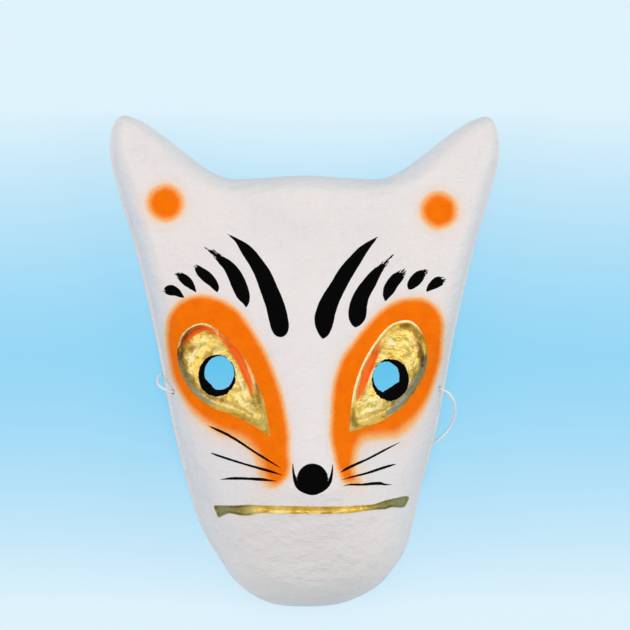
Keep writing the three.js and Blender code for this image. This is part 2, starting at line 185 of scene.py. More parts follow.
# The painting is placed on the rim's plane as the camera sees it, and falls on the face from there.
# Brush strokes: how much of the tip is frayed, and places along the stroke with its half width there.
BROWS = [
    (0.04, [
        (-34.3, 55.8, 0.15), (-30.3, 53.2, 0.85), (-25.7, 48.6, 2.5), (-21.1, 42.4, 3.1),
        (-18.1, 37.1, 3.6), (-15.8, 31.3, 3.85), (-13.3, 24.9, 4.1), (-11.7, 18.5, 4.2),
        (-10.9, 14.3, 3.7), (-10.7, 12.4, 1.9)]),
    (0.04, [
        (32.2, 54.8, 0.15), (28.3, 51.4, 1.25), (25.3, 48.5, 2.1), (21.8, 44, 2.8), (17.7, 38.4, 3.35),
        (14.6, 32.9, 3.5), (11.4, 27.2, 3.95), (9.2, 21.7, 4.3), (8.4, 17.6, 4.25), (8.3, 13.1, 2.65),
        (7.9, 10.2, 0.5)]),
    (0.4, [
        (-44.4, 49.9, 0.15), (-40.5, 47.7, 1.3), (-37.3, 44.7, 1.8), (-34.2, 42.2, 2.35),
        (-31.5, 38.6, 3), (-29.3, 34.1, 3.3), (-27.4, 29.5, 3), (-26.1, 26.4, 1.7), (-25.9, 23.8, 0.3)]),
    (0.35, [
        (39.2, 47, 0.2), (36.6, 44.5, 0.85), (33.9, 41.5, 1.5), (30.9, 38, 2.3), (28, 33.7, 3),
        (25.3, 29.5, 3.35), (23.6, 24.9, 3.8), (23, 20.2, 3.9), (22.5, 17.4, 2.4), (22.1, 15, 0.3)]),
    (0.1, [
        (-48, 41.7, 0.9), (-45.9, 39.2, 2), (-43.2, 36.9, 2.45), (-40.8, 34.6, 2.05),
        (-39.2, 32.3, 1.4), (-38.6, 30.4, 0.3)]),
    (0.35, [
        (43.8, 39.6, 1), (41.4, 37.3, 2.4), (38.9, 34.6, 2.6), (37.3, 31.9, 2.6), (36, 29.1, 1.7),
        (35.5, 26.8, 0.5)]),
    (0.35, [
        (-56.6, 38, 0.8), (-54.3, 36.9, 1.85), (-52, 35, 2.15), (-50.1, 33.1, 1.5), (-48, 30.4, 0.3)]),
    (0.4, [
        (53.7, 39.6, 0.8), (51.1, 38.1, 2.1), (49, 35.8, 2.6), (47.1, 33.7, 2), (46.3, 32.3, 1)]),
    (0.2, [
        (-61.9, 30.6, 0.6), (-59.2, 31.1, 2.3), (-56.8, 30.4, 1.85), (-54.7, 28.9, 1),
        (-53.3, 27.9, 0.2)]),
    (0.3, [
        (61.2, 35.8, 1.2), (58.9, 35, 2.3), (56.6, 33.5, 1.95), (54.9, 32.1, 1.2), (53.8, 30.8, 0.4)]),
]
WHISKERS = [
    [(-42.7, -28.4, 0.1), (-40, -29.6, 0.45), (-37.8, -30.6, 0.6), (-34.3, -32.3, 0.6),
     (-28.1, -36, 0.55), (-23.4, -39.2, 0.5), (-17.2, -43.1, 0.5), (-10.6, -47.1, 0.15)],
    [(-41.1, -40.5, 0.2), (-39.2, -41.2, 0.45), (-33, -43.3, 0.5), (-24.2, -46, 0.5), (-16.3, -48.2, 0.6),
     (-9.9, -50.2, 0.1)],
    [(-37.8, -52.1, 0.1), (-32.1, -51.6, 0.6), (-25.5, -51.7, 0.6), (-18.9, -52.1, 0.7),
     (-15.4, -52.5, 0.4), (-12.3, -52.8, 0.1)],
    [(15.8, -48.9, 0.2), (18.2, -47.5, 0.6), (22.5, -45.4, 0.6), (27.1, -43.4, 0.5), (32.1, -40.8, 0.5),
     (36.7, -38.4, 0.4), (41.8, -35.8, 0.1)],
    [(15.8, -52.4, 0.1), (20.7, -51, 0.4), (26.8, -49.5, 0.5), (32.1, -47.8, 0.6), (37.4, -46.1, 0.5),
     (40.5, -45.3, 0.1)],
    [(16.5, -55.1, 0.1), (19.8, -54.4, 0.4), (25.1, -54.4, 0.5), (29.5, -54, 0.7), (33, -53.9, 0.7),
     (35.6, -54.4, 0.4), (38.3, -54.4, 0.1)],
]
NOSTRILS = [
    [(-5.4, -45.4, 0.2), (-4.9, -50.2, 0.6), (-3.3, -54.8, 1), (-0.6, -57, 1), (3, -58.3, 0.8)],
    [(12.2, -45.7, 0.2), (11.7, -50.2, 0.6), (10.4, -54, 0.9), (7.4, -56.8, 0.9), (4, -58.3, 0.7)],
]
NOSE_PLACE = (3.3, -51.9)
NOSE_RADIUS = 6.8
NOSE_DROOP = 0.95
PUPIL_PLACES = [(-38.7, -6.5), (37.6, -8.3)]
PUPIL_SIZE = (8.2, 9.25)
EAR_DOTS = [(-61.4, 69.3), (59.1, 66.4)]
EAR_DOT_RADIUS = 8.1
EAR_DOT_SOFTNESS = 1.35
# The sprayed edge is softer low down and away from the nose
SPRAY_WIDENS = 1.2
SPRAY_WIDENS_OVER = (14, 34)
SPRAY_CRISP_BY_NOSE = (14, 22)
SPRAY_REACH = 8
# Painted dark reflection on the mouth's gold towards both ends; the chin is brushed the other way
DARK_REFLECTION_MIDDLE = 3
DARK_REFLECTION_OVER = (22, 34)
DARK_REFLECTION_MOST = 0.8
MOUTH_REACH = 2
CHIN_BRUSHED = (62, 74)
BRISTLE_SHIFT = 7.3
BRIGHT_LEAST = 0.05
# Marks over the gold: places along each line with its half width there
# Red paint on the gold, deepened as a painted reflection of the orange around the eyes
RED_PAINT_AND_REFLECTION_OVER_GOLD = [
    [(-43, 13.8, 0.2), (-38, 11.4, 0.6), (-33.6, 7.6, 0.9), (-30.2, 3.4, 1.4), (-27.6, -1.6, 1.7),
     (-25.6, -6.8, 1.6), (-24.2, -11, 1), (-23.4, -15.5, 0.3)],
    [(33.2, 8.6, 0.2), (31.6, 5, 0.8), (29.9, 0.6, 1.5), (27.6, -4.6, 1.8), (25.8, -9, 1.6),
     (24.2, -13.6, 1.1), (23, -17.4, 0.3)],
    [(-53.4, 6.6, 0.3), (-51.6, 9.6, 1), (-48.6, 12.6, 1.4), (-44.6, 14.2, 1), (-40.6, 13.4, 0.3)],
    [(-42.6, 15.9, 0.3), (-38.6, 14, 0.5), (-34.8, 11.3, 0.6), (-30.8, 7.4, 0.7), (-27.2, 3, 0.4)],
]
# Painted shade: dark brown in the upper outer walls of the eyes
PAINTED_SHADE_OVER_GOLD = [
    [(-56.1, 2.4, 0.4), (-55.6, 6, 0.9), (-54.4, 9.4, 1.1), (-52.4, 12.6, 0.9), (-50.4, 14.8, 0.3)],
    [(49.6, 8.2, 0.2), (50.7, 5.2, 0.9), (51.3, 1.2, 1.1), (51.6, -2.4, 0.4)],
]
# Painted reflection: blue-grey in the lower outer walls of the eyes
PAINTED_REFLECTION_OVER_GOLD = [
    [(-56, 3, 0.5), (-54.8, -2, 0.9), (-52.6, -7.7, 1.1), (-49.2, -12.4, 1.2), (-45.4, -16, 1.1),
     (-41.5, -18.2, 0.8), (-38, -19.6, 0.2)],
    [(53.2, 1.8, 0.9), (52.4, -3.1, 1.1), (49.7, -7.5, 1.3), (46.2, -11.9, 1.5), (42.2, -17.6, 1.6),
     (38.6, -21.4, 1.2), (35.4, -23.8, 0.2)],
]
# Painted highlights: pale lines on the eyes' gold and along the mouth's lower lip
PAINTED_HIGHLIGHTS_OVER_GOLD = [
    [(36.2, 9.4, 0.9), (38, 8.2, 1.3), (39.6, 7.2, 0.5)],
    [(-46.5, 8.3, 0.3), (-44.6, 9.4, 0.6), (-42, 9.4, 0.3)],
    [(-32.4, 0.4, 0.1), (-30.6, -3.6, 0.35), (-28.9, -8, 0.4), (-27.2, -12.5, 0.35), (-26, -17, 0.1)],
    [(-26.4, 0.6, 0.1), (-24.4, -4, 0.35), (-22.8, -8.6, 0.35), (-21.8, -12.4, 0.1)],
    [(31, -2.6, 0.1), (28.9, -7.2, 0.35), (27.2, -12, 0.2)],
    [(-37, -18.6, 0.2), (-34.4, -19.4, 0.7), (-31.6, -20.2, 0.3)],
    [(-30.2, -14.6, 0.3), (-28.6, -17, 0.8), (-26.2, -19.6, 0.4)],
    [(26.4, -18.6, 0.3), (28.8, -17.2, 0.9), (31.8, -16.8, 0.4)],
    [(25.2, -22, 0.3), (28.6, -21.6, 0.7), (32.6, -20.6, 0.3)],
    [(-51.4, -2, 0.3), (-49.8, 1.4, 0.8), (-48.2, 4.2, 0.3)],
    [(-15.8, -66.2, 0.2), (-13, -66.6, 0.6), (-9.4, -66.6, 0.6), (-6.8, -66.6, 0.2)],
    [(1.8, -66.7, 0.2), (4.2, -66.8, 0.5), (6.6, -66.7, 0.2)],
    [(12, -66.5, 0.2), (14, -66.5, 0.45), (16, -66.4, 0.2)],
]
SPRAYED = [
    [(-61.2, 8.8), (-60.3, 18.9), (-56.8, 24.6), (-51.9, 27.7), (-45.8, 29), (-37.8, 27.3),
     (-30.8, 23.3), (-26.4, 18.5), (-22, 11.9), (-17.6, 4.4), (-13.6, -4.8), (-10.1, -15),
     (-8.4, -23.3), (-7, -31.7), (-7, -40), (-6.6, -47.5), (-8.8, -52.4), (-14.1, -55.4),
     (-18.5, -52.4), (-21.1, -44), (-23.8, -39.2), (-29.5, -34.3), (-37.8, -31.7), (-43.6, -27.7),
     (-50.2, -21.6), (-54.6, -15), (-58.5, -7), (-60.3, 2.2)],
    [(34.3, 22.9), (40, 26.4), (45.3, 27.7), (52.8, 27.3), (58.5, 23.3), (61.2, 17.2), (60.9, 8.8),
     (60.3, 0.9), (57.9, -7.9), (55, -15.8), (50.6, -23.8), (45.3, -29.9), (40, -33.4), (29, -34.3),
     (24.6, -36.5), (22.4, -41.8), (22, -48.4), (23.8, -53.2), (17.6, -53.7), (14.5, -48.4),
     (12.3, -40), (11.3, -34.8), (10.9, -31.4), (11.4, -22.9), (11.9, -13.6), (13.6, -5.7),
     (16.7, 2.2), (21.6, 8.8), (26, 14.5), (30.4, 19.4)],
]
# The mouth's gold strip has an uneven edge, as the paper was cut by hand
MOUTH_STRIP = [
    (-39.9, -63.5), (-38.9, -63.4), (-32.1, -63.5), (-24.2, -63.1), (-17.2, -63.5), (-6.6, -63.7),
    (3.5, -63.9), (17.2, -63.9), (24.2, -63.5), (30.8, -62.9), (35.2, -61.4), (40.5, -60.2),
    (44.4, -59.5), (45.6, -59.7), (45.8, -60.4), (43.9, -64.1), (43.1, -64.5), (38.3, -64.4),
    (35.2, -65.2), (32.1, -65.4), (26, -66.1), (20.7, -66.8), (13.2, -67.2), (4, -67.3), (-6.6, -67.2),
    (-12.8, -67.2), (-18.9, -66.8), (-24.6, -67.9), (-29, -67.7), (-33.2, -66.9), (-36.6, -68.1),
    (-37.8, -68.8), (-38.3, -68.4),
]

# How finely lines and surfaces are divided, and how clear of each other their points keep
DENSE = 0.1
CURVE_STEPS = 40
TURN_POINTS = 60
SOLVE_ROUNDS = 12
RIM_SPACING = 1
EDGE_ROWS = 24
STRIP_ROWS = 6
INNER_ROW_STEP = 3
LIP_ROWS = 4
OUTER_SPACING = 1
INNER_SPACING = 1.9
EYE_SPACING = 0.6
BORDER_SPACING = 0.45
SPRAY_SPACING = 0.4
EYE_RINGS = (-1.9, -1.2, -0.65, -0.25, 0, 0.15, 0.35, 0.6, 0.9, 1.25, 1.7, 2.2, 2.8, 3.4)
MOUTH_RINGS = (-0.9, -0.35, 0, 0.2, 0.45, 0.8, 1.3, 1.8)
HOLE_RINGS = (-0.35, -0.8)
STRING_RINGS = (0.35, 0.8)
INNER_EYE_RINGS = (-3.2, -2, -1, 0, 1.2)
INNER_MOUTH_RINGS = (-2.8, -1.6, -0.4, 0.8)
INNER_HOLE_RINGS = (-0.9,)
INNER_STRING_RINGS = (0.5,)
HOLE_POINTS = 96
STRING_HOLE_POINTS = 24
EYE_ZONE = 40
EYE_GRID_DEPTH = 3.7
STROKE_STEP = 0.2
STROKE_SPACING = 0.6
STROKE_MARGIN = 0.5
STROKE_REACH = 4
STROKE_GAP = 0.2
STROKE_LOOKS_BACK = 160
CROSSING = 0.06
EDGE_GAP = 0.25
RING_GAP = 0.2
EYE_GRID_GAP = 0.4
FIELD_GAP = 0.5
FIELD_CLEAR = {"eye": 2.4, "mouth": 1.4}
STROKES_CLEAR = {"eye": 2, "mouth": 1}
INNER_EDGE_GAP = 0.4
INNER_GAP = 0.9
INNER_HOLE_GAP = 0.8
NEAR = 5
FAR = 50
TINY = 1e-9
MERGED = 1e-5


# Curves

def curve_through(points, closed=False):
    """A centripetal curve through the points, as a dense line"""
    points = np.array(points, float)
    if closed:
        padded = np.concatenate([points[-1:], points, points[:2]])
    else:
        padded = np.concatenate([2 * points[:1] - points[1:2], points, 2 * points[-1:] - points[-2:-1]])
    shares = np.linspace(0, 1, CURVE_STEPS, endpoint=False)[:, None]
    pieces = []
    for before, start, end, after in zip(padded, padded[1:], padded[2:], padded[3:]):
        gaps = [max(np.linalg.norm(b - a), TINY) ** 0.5
                for a, b in ((before, start), (start, end), (end, after))]
        first = (start - before) / gaps[0] - (end - before) / (gaps[0] + gaps[1])
        first = (first + (end - start) / gaps[1]) * gaps[1]
        last = (end - start) / gaps[1] - (after - start) / (gaps[1] + gaps[2])
        last = (last + (after - end) / gaps[2]) * gaps[1]
        cubic = 2 * start - 2 * end + first + last
        square = -3 * start + 3 * end - 2 * first - last
        pieces.append(start + first * shares + square * shares ** 2 + cubic * shares ** 3)
    pieces.append(points[:1] if closed else points[-1:])
    return np.concatenate(pieces)


def evenly(line, spacing):
    """The line's points at even distances, both ends included"""
    steps = np.linalg.norm(np.diff(line, axis=0), axis=1)
    along = np.concatenate([[0], np.cumsum(steps)])
    count = max(int(round(along[-1] / spacing)), 1)
    at = np.linspace(0, along[-1], count + 1)
    return np.stack([np.interp(at, along, line[:, k]) for k in range(line.shape[1])], axis=1)


def closed_loop(points, spacing):
    """A closed smooth loop through the points, without its repeated last point"""
    return evenly(curve_through(points, closed=True), spacing)[:-1]


def dense_loop(loop):
    """A closed loop as a dense line that ends at its first point"""
    return evenly(np.concatenate([loop, loop[:1]]), DENSE)


def cornered_loop(points, spacing):
    """A closed loop that is smooth everywhere but at its first point"""
    points = list(points)
    return evenly(curve_through(points + points[:1]), spacing)[:-1]


def counter_clockwise(loop):
    after = np.roll(loop, -1, axis=0)
    area = (loop[:, 0] * after[:, 1] - loop[:, 1] * after[:, 0]).sum()
    return loop if area > 0 else loop[::-1].copy()


def unit(vectors):
    """The vectors at length 1; one without a length stays as it is"""
    lengths = np.linalg.norm(vectors, axis=1)[:, None]
    return vectors / np.maximum(lengths, TINY)


def outward_normals(loop):
    """Unit normals out of a counter-clockwise loop"""
    across = np.roll(loop, -1, axis=0) - np.roll(loop, 1, axis=0)
    normals = np.stack([across[:, 1], -across[:, 0]], axis=1)
    return unit(normals)


def smooth_over(knots, values):
    """A smooth curve of values over the knots"""
    knots = np.array(knots, float)
    values = np.array(values, float)
    slopes = np.empty_like(values)
    slopes[1:-1] = (values[2:] - values[:-2]) / (knots[2:] - knots[:-2])
    slopes[0] = (values[1] - values[0]) / (knots[1] - knots[0])
    slopes[-1] = (values[-1] - values[-2]) / (knots[-1] - knots[-2])

    def curve(at):
        at = np.clip(at, knots[0], knots[-1])
        i = np.clip(np.searchsorted(knots, at) - 1, 0, len(knots) - 2)
        step = knots[i + 1] - knots[i]
        t = (at - knots[i]) / step
        rise = t * t * (3 - 2 * t)
        ends = values[i] * (1 - rise) + values[i + 1] * rise
        return ends + step * t * (1 - t) * ((1 - t) * slopes[i] - t * slopes[i + 1])

    return curve


def smoothstep(value, low, high):
    t = np.clip((value - low) / (high - low), 0, 1)
    return t * t * (3 - 2 * t)


def hump(at, centre, reach):
    away = np.minimum(np.abs(at - centre) / reach, 1)
    return np.cos(away * math.pi / 2) ** 2


# Distances

def nearest(points, line):
    """Distance from each point to a dense line, with the number of the nearest place on it"""
    tree = KDTree(len(line))
    for i, (x, y) in enumerate(line):
        tree.insert((x, y, 0), i)
    tree.balance()
    found = [tree.find((x, y, 0)) for x, y in points]
    return np.array([place[2] for place in found]), np.array([place[1] for place in found], int)


def nearest_distance(points, line):
    return nearest(points, line)[0]


def is_inside(points, loop):
    x, y = points[:, 0], points[:, 1]
    inside = np.zeros(len(points), bool)
    for (x0, y0), (x1, y1) in zip(loop, np.roll(loop, -1, axis=0)):
        crosses = (y0 > y) != (y1 > y)
        if y0 != y1:
            inside ^= crosses & (x < (x1 - x0) * (y - y0) / (y1 - y0) + x0)
    return inside


def in_box(points, line, reach):
    """Which points lie in a line's box, grown by the reach"""
    return ((points > line.min(axis=0) - reach) & (points < line.max(axis=0) + reach)).all(axis=1)


def depth_inside(points, loop, reach=FAR):
    """Distance to a loop's line, positive inside it; beyond the reach it isn't worked out"""
    near = in_box(points, loop, reach)
    result = np.full(len(points), -float(reach))
    if near.any():
        gap = nearest_distance(points[near], dense_loop(loop))
        result[near] = np.where(is_inside(points[near], loop), gap, -gap)
    return result


def bumps(points, size):
    """Smooth noise between about -1 and 1, with lumps of the given size"""
    return np.array([noise.noise(Vector(point) / size) for point in points])


def relief_of(points, layers):
    """Lumps over the points, in layers of a height, a size and a shift"""
    return sum(height * bumps(points + shift, size) for height, size, shift in layers)


# The face's surface

section_ys, *section_values = zip(*SECTIONS)
middle_height, side_height, blunt_width, fullness, edge_width = (
    smooth_over(section_ys, values) for values in section_values)


def lean(y):
    return CHIN_LEAN * hump(y, CHIN_LEAN_Y, CHIN_LEAN_REACH)


def rim_height(y):
    return SIDE_LIFT * hump(y, SIDE_LIFT_Y, SIDE_LIFT_REACH)


right_half = CHIN_TO_CHEEK + CHEEK_TO_EAR + EAR_TO_FOREHEAD
left_half = [(-x, y) for x, y in right_half[-2:0:-1]]
rim_points = [(x + lean(y), y) for x, y in right_half + left_half]
rim_dense = closed_loop(rim_points, DENSE)
rim_columns = closed_loop(rim_points, RIM_SPACING)
rim_inward = -outward_normals(rim_columns)
rim_up = outward_normals(rim_dense)[:, 1]
rim_up = np.concatenate([rim_up[-TURN_POINTS:], rim_up, rim_up[:TURN_POINTS]])
rim_up = np.convolve(rim_up, np.full(2 * TURN_POINTS + 1, 1 / (2 * TURN_POINTS + 1)), "valid")
side_points = CHIN_TO_CHEEK + CHEEK_TO_EAR + EAR_TO_FOREHEAD[:1]
half_width = smooth_over([y for x, y in side_points], [x for x, y in side_points])


def face_height(points):
    """Height of the face without its rounded edge"""
    x, y = points[:, 0], points[:, 1]
    width = np.maximum(half_width(y), blunt_width(y))
    out = np.minimum(np.abs(x - lean(y)) / width, 1)
    blunt = blunt_width(y) / width
    away = (np.hypot(out, blunt) - blunt) / (np.hypot(1, blunt) - blunt)
    return side_height(y) + (middle_height(y) - side_height(y)) * (1 - away ** fullness(y))


def base_height(points, distance=None):
    """Height of the outer surface before anything is pressed into it"""
    found, number = nearest(points, rim_dense)
    if distance is None:
        distance = found
    y = points[:, 1]
    top = smoothstep(rim_up[number], *ROUND_TURN)
    lipped = 1 - np.maximum(top, smoothstep(-rim_up[number], *ROUND_TURN))
    edge = edge_width(y) + ROUND_WIDER * top * (1 - smoothstep(y, *ROUND_FADES_OVER))
    squareness = EDGE_SQUARENESS + (ROUND_SQUARENESS - EDGE_SQUARENESS) * top
    lip_width = np.maximum(LIP_WIDTH * lipped, LIP_LEAST)
    lip_height = LIP_HEIGHT * lipped
    rim = rim_height(y)
    lip_share = np.clip(distance / lip_width, 0, 1)
    lip = rim + lip_height * (1 - (1 - lip_share) ** LIP_ROUNDNESS) ** (1 / LIP_ROUNDNESS)
    inset = np.clip((distance - lip_width) / (edge - lip_width), 0, 1)
    rise = (1 - (1 - inset) ** squareness) ** (1 / squareness)
    ear = smoothstep(y, EAR_DISH_START_Y, EAR_DISH_FULL_Y)
    dish = EAR_DISH * ear * smoothstep(distance, edge, edge + EAR_DISH_WIDTH)
    foot = rim + lip_height
    wall = foot + (face_height(points) - foot) * rise - dish
    return np.where(distance < lip_width, lip, wall)


def onto_face(seen):
    """The plan places of points that the camera sees at the given places of the rim's plane"""
    seen = np.array(seen, float)
    camera = np.array(CAMERA_PLACE[:2])
    points = seen.copy()
    for _ in range(SOLVE_ROUNDS):
        share = base_height(points)[:, None] / CAMERA_PLACE[2]
        points = seen + (camera - seen) * share
    return points


def as_seen(places):
    """Where the camera sees the given places, on the rim's plane"""
    camera = np.array(CAMERA_PLACE)
    share = camera[2] / (camera[2] - places[:, 2])
    return camera[:2] + (places[:, :2] - camera[:2]) * share[:, None]


# The eyes and the mouth are pressed into the face

for eye in EYES:
    side = eye["side"]
    pupil = np.array(eye["pupil"])
    almond = [(pupil[0] + out * side, pupil[1] + up) for out, up in eye["outline"]]
    eye["border"] = counter_clockwise(cornered_loop(almond, BORDER_SPACING))
    offsets = eye["border"] - pupil
    order = np.argsort(np.arctan2(offsets[:, 1], offsets[:, 0]))
    eye["angles"] = np.arctan2(offsets[:, 1], offsets[:, 0])[order]
    eye["radii"] = np.hypot(offsets[:, 0], offsets[:, 1])[order]

mouth_seen = closed_loop(MOUTH_STRIP, BORDER_SPACING)
mouth_border = counter_clockwise(evenly(onto_face(mouth_seen), BORDER_SPACING))


def eye_share(points, eye):
    """0 at the pupil's middle, 1 on the almond's border"""
    offsets = points - np.array(eye["pupil"])
    angles = np.arctan2(offsets[:, 1], offsets[:, 0])
    radii = np.interp(angles, eye["angles"], eye["radii"], period=2 * math.pi)
    return np.clip(np.hypot(offsets[:, 0], offsets[:, 1]) / radii, 0, 1), angles


def bright_way(angles, eye):
    """1 where an eye's edge faces the light, 0 on the other side"""
    return smoothstep(np.cos(angles - math.radians(eye["bright_turn"])), *eye["bright_reach"])


def eyeball(share):
    """How far the eye lies under the face at a share of the way to its border"""
    return EYE_RECESS - EYE_BULGE * (1 - share ** 2)


def eye_drop(points, inside, eye):
    """The eye's depth with its ledge, its wall and the groove at the wall's foot"""
    share, angles = eye_share(points, eye)
    upper_outer = math.atan2(1, eye["side"])
    turned = (1 - np.cos(angles - upper_outer)) / 2
    wall = EYE_WALL_NARROW + (EYE_WALL_WIDE - EYE_WALL_NARROW) * turned
    ledge = 2 * eye["bright_edge"] * bright_way(angles, eye)
    inside = np.maximum(inside - ledge, 0)
    past = np.maximum(inside - wall, 0)
    floor = eyeball(share) + EYE_GROOVE * np.exp(-(past / EYE_GROOVE_WIDTH) ** 2)
    slope = 1 - (1 - np.clip(inside / wall, 0, 1)) ** EYE_WALL_CURVE
    return floor * slope


def pressed(points):
    """How far the outer surface is pressed in, with the depths inside the eyes and the mouth"""
    eyes = [depth_inside(points, eye["border"]) for eye in EYES]
    mouth = depth_inside(points, mouth_border)
    drop = MOUTH_DEPTH * smoothstep(mouth, 0, MOUTH_EDGE)
    drop -= MOUTH_LIP * np.exp(-(mouth / MOUTH_LIP_WIDTH) ** 2)
    for eye, inside in zip(EYES, eyes):
        drop += np.where(inside > 0, eye_drop(points, inside, eye), 0)
        drop -= EYE_LIP * np.exp(-(inside / EYE_LIP_WIDTH) ** 2)
    return drop, np.maximum(*eyes), mouth


# Points over the plan

def hexagons(spacing):
    low = rim_dense.min(axis=0)
    high = rim_dense.max(axis=0)
    rows = np.arange(low[1], high[1], spacing * math.sqrt(3) / 2)
    points = []
    for i, y in enumerate(rows):
        xs = np.arange(low[0] + (i % 2) * spacing / 2, high[0], spacing)
        points.append(np.stack([xs, np.full(len(xs), y)], axis=1))
    return np.concatenate(points)


def around(border, offsets):
    """Points at the given distances from a border, inwards positive, without those that cross over"""
    normals = outward_normals(border)
    points = []
    for offset in offsets:
        moved = border - normals * offset
        if offset:
            gap = nearest_distance(moved, dense_loop(border))
            moved = moved[gap > abs(offset) - CROSSING]
        points.append(moved)
    return np.concatenate(points)


def thinned(points, others, gap):
    """The points that keep clear of the others"""
    return points[nearest_distance(points, others) > gap]


def oval(centre, size, count, uneven=0, seed=0, torn=None):
    """A ring around an oval; torn gives the way and the distance of a straighter, ragged side"""
    angles = np.arange(count) * 2 * math.pi / count
    ring = np.stack([np.cos(angles), np.sin(angles)], axis=1)
    ragged = 1
    for waves, share, shift in HOLE_WAVES:
        lumps = bumps([(waves * x, waves * y, seed + shift) for x, y in ring], 1)
        ragged = ragged + uneven * share * lumps
    ring = ring * ragged[:, None] * np.array(size) / 2
    if torn:
        turn = math.radians(torn[0])
        way = np.array([math.cos(turn), math.sin(turn)])
        rough = TORN_HEIGHT * bumps([(x, y, seed) for x, y in ring], TORN_SIZE)
        past = np.maximum(ring @ way - torn[1] - rough, 0)
        ring = ring - past[:, None] * way
    return np.array(centre) + ring


holes = [oval(eye["hole"], eye["hole_size"], HOLE_POINTS, HOLE_UNEVEN, i, eye["torn"])
         for i, eye in enumerate(EYES)]
holes += [oval(place, STRING_HOLE_SIZE, STRING_HOLE_POINTS) for place in STRING_HOLES]


def strip_distances(row, y):
    """Distance from the rim of one row of the rounded edge"""
    inset = 1 - math.cos(row / EDGE_ROWS * math.pi / 2) ** (2 / EDGE_SQUARENESS)
    return LIP_WIDTH + (edge_width(y) - LIP_WIDTH) * inset


def strip_row(row):
    distance = strip_distances(row, rim_columns[:, 1])
    return rim_columns + rim_inward * distance[:, None], distance


def triangulate(points, loops):
    """Triangles between the first loop and the holes, with the points that they use"""
    edges = []
    first = 0
    for loop in loops:
        count = len(loop)
        edges += [(first + i, first + (i + 1) % count) for i in range(count)]
        first += count
    everything = np.concatenate(list(loops) + [points])
    made = delaunay_2d_cdt([Vector(point) for point in everything], edges, [], 0, MERGED)
    places = np.array([tuple(place) for place in made[0]])
    triangles = np.array([face for face in made[2] if len(face) == 3])
    moved = np.full(len(everything), -1)
    for new, olds in enumerate(made[3]):
        for old in olds:
            moved[old] = new
    a, b, c = (places[triangles[:, k]] for k in range(3))
    turned = (b[:, 0] - a[:, 0]) * (c[:, 1] - a[:, 1]) - (b[:, 1] - a[:, 1]) * (c[:, 0] - a[:, 0]) < 0
    triangles[turned] = triangles[turned][:, ::-1]
    middles = (a + b + c) / 3
    keep = is_inside(middles, loops[0])
    for loop in loops[1:]:
        keep &= ~is_inside(middles, loop)
    return places, triangles[keep], moved


def strip(lower, upper):
    """Triangles between two rows of the same closed loop"""
    lower_next = np.roll(lower, -1)
    upper_next = np.roll(upper, -1)
    return np.concatenate([np.stack([lower, lower_next, upper_next], axis=1),
                           np.stack([lower, upper_next, upper], axis=1)])


# Brush strokes

def brush_line(path):
    """A stroke's dense middle line, with its half width"""
    return evenly(curve_through(path), STROKE_STEP)


brow_lines = [brush_line(path) for frayed, path in BROWS]
thin_lines = [brush_line(path) for path in WHISKERS + NOSTRILS]
lines_over_gold = {name: [brush_line(path) for path in paths]
         for name, paths in (("red", RED_PAINT_AND_REFLECTION_OVER_GOLD), ("brown", PAINTED_SHADE_OVER_GOLD),
                             ("grey", PAINTED_REFLECTION_OVER_GOLD), ("pale", PAINTED_HIGHLIGHTS_OVER_GOLD))}


def stroke_points(line):
    """Places along a stroke's middle, along both its sides and just outside them"""
    line = evenly(line, STROKE_SPACING)
    middle = line[:, :2]
    half = line[:, 2:]
    tangent = unit(np.gradient(middle, axis=0))
    normal = np.stack([-tangent[:, 1], tangent[:, 0]], axis=1)
    wider = half + STROKE_MARGIN
    return np.concatenate([middle] + [middle + normal * out for out in (half, -half, wider, -wider)])


def stroke_depth(seen, line):
    """How deep points lie inside a stroke, with their places along and across it"""
    middle = line[:, :2]
    half = line[:, 2]
    depth = np.full(len(seen), -float(FAR))
    along = np.zeros(len(seen))
    across = np.zeros(len(seen))
    near = in_box(seen, middle, half.max() + STROKE_REACH)
    if near.any():
        offsets = seen[near][:, None] - middle
        gaps = half - np.hypot(offsets[..., 0], offsets[..., 1])
        best = gaps.argmax(axis=1)
        rows = np.arange(len(best))
        tangent = unit(np.gradient(middle, axis=0)[best])
        offset = offsets[rows, best]
        depth[near] = gaps[rows, best]
        along[near] = best * STROKE_STEP
        across[near] = tangent[:, 0] * offset[:, 1] - tangent[:, 1] * offset[:, 0]
    return depth, along, across


# The camera and the string

def add_object(name, data):
    made = bpy.data.objects.new(name, data)
    bpy.context.scene.collection.objects.link(made)
    return made


def make_camera():
    place = Vector(CAMERA_PLACE) * MM
    forward = Vector(CAMERA_AIM) * MM - place
    data = bpy.data.cameras.new("camera")
    data.sensor_width = SENSOR_WIDTH
    data.lens = SENSOR_WIDTH * forward.length / (SEEN_WIDTH * MM)
    data.clip_start, data.clip_end = SEEN_FROM_TO
    forward.normalize()
    right = forward.cross(Vector((0, 1, 0))).normalized()
    turn = Matrix((right, right.cross(forward), -forward)).transposed().to_4x4()
    camera = add_object("camera", data)
    camera.matrix_world = Matrix.Translation(place) @ turn
    bpy.context.scene.camera = camera


def make_object(name, vertices, faces, materials, material_numbers=None):
    """A smooth object from points in millimetres"""
    mesh = bpy.data.meshes.new(name)
    mesh.from_pydata((np.array(vertices) * MM).tolist(), [], faces)
    for material in materials:
        mesh.materials.append(material)
    if material_numbers is not None:
        mesh.polygons.foreach_set("material_index", material_numbers)
    mesh.validate()
    for polygon in mesh.polygons:
        polygon.use_smooth = True
    return add_object(name, mesh)


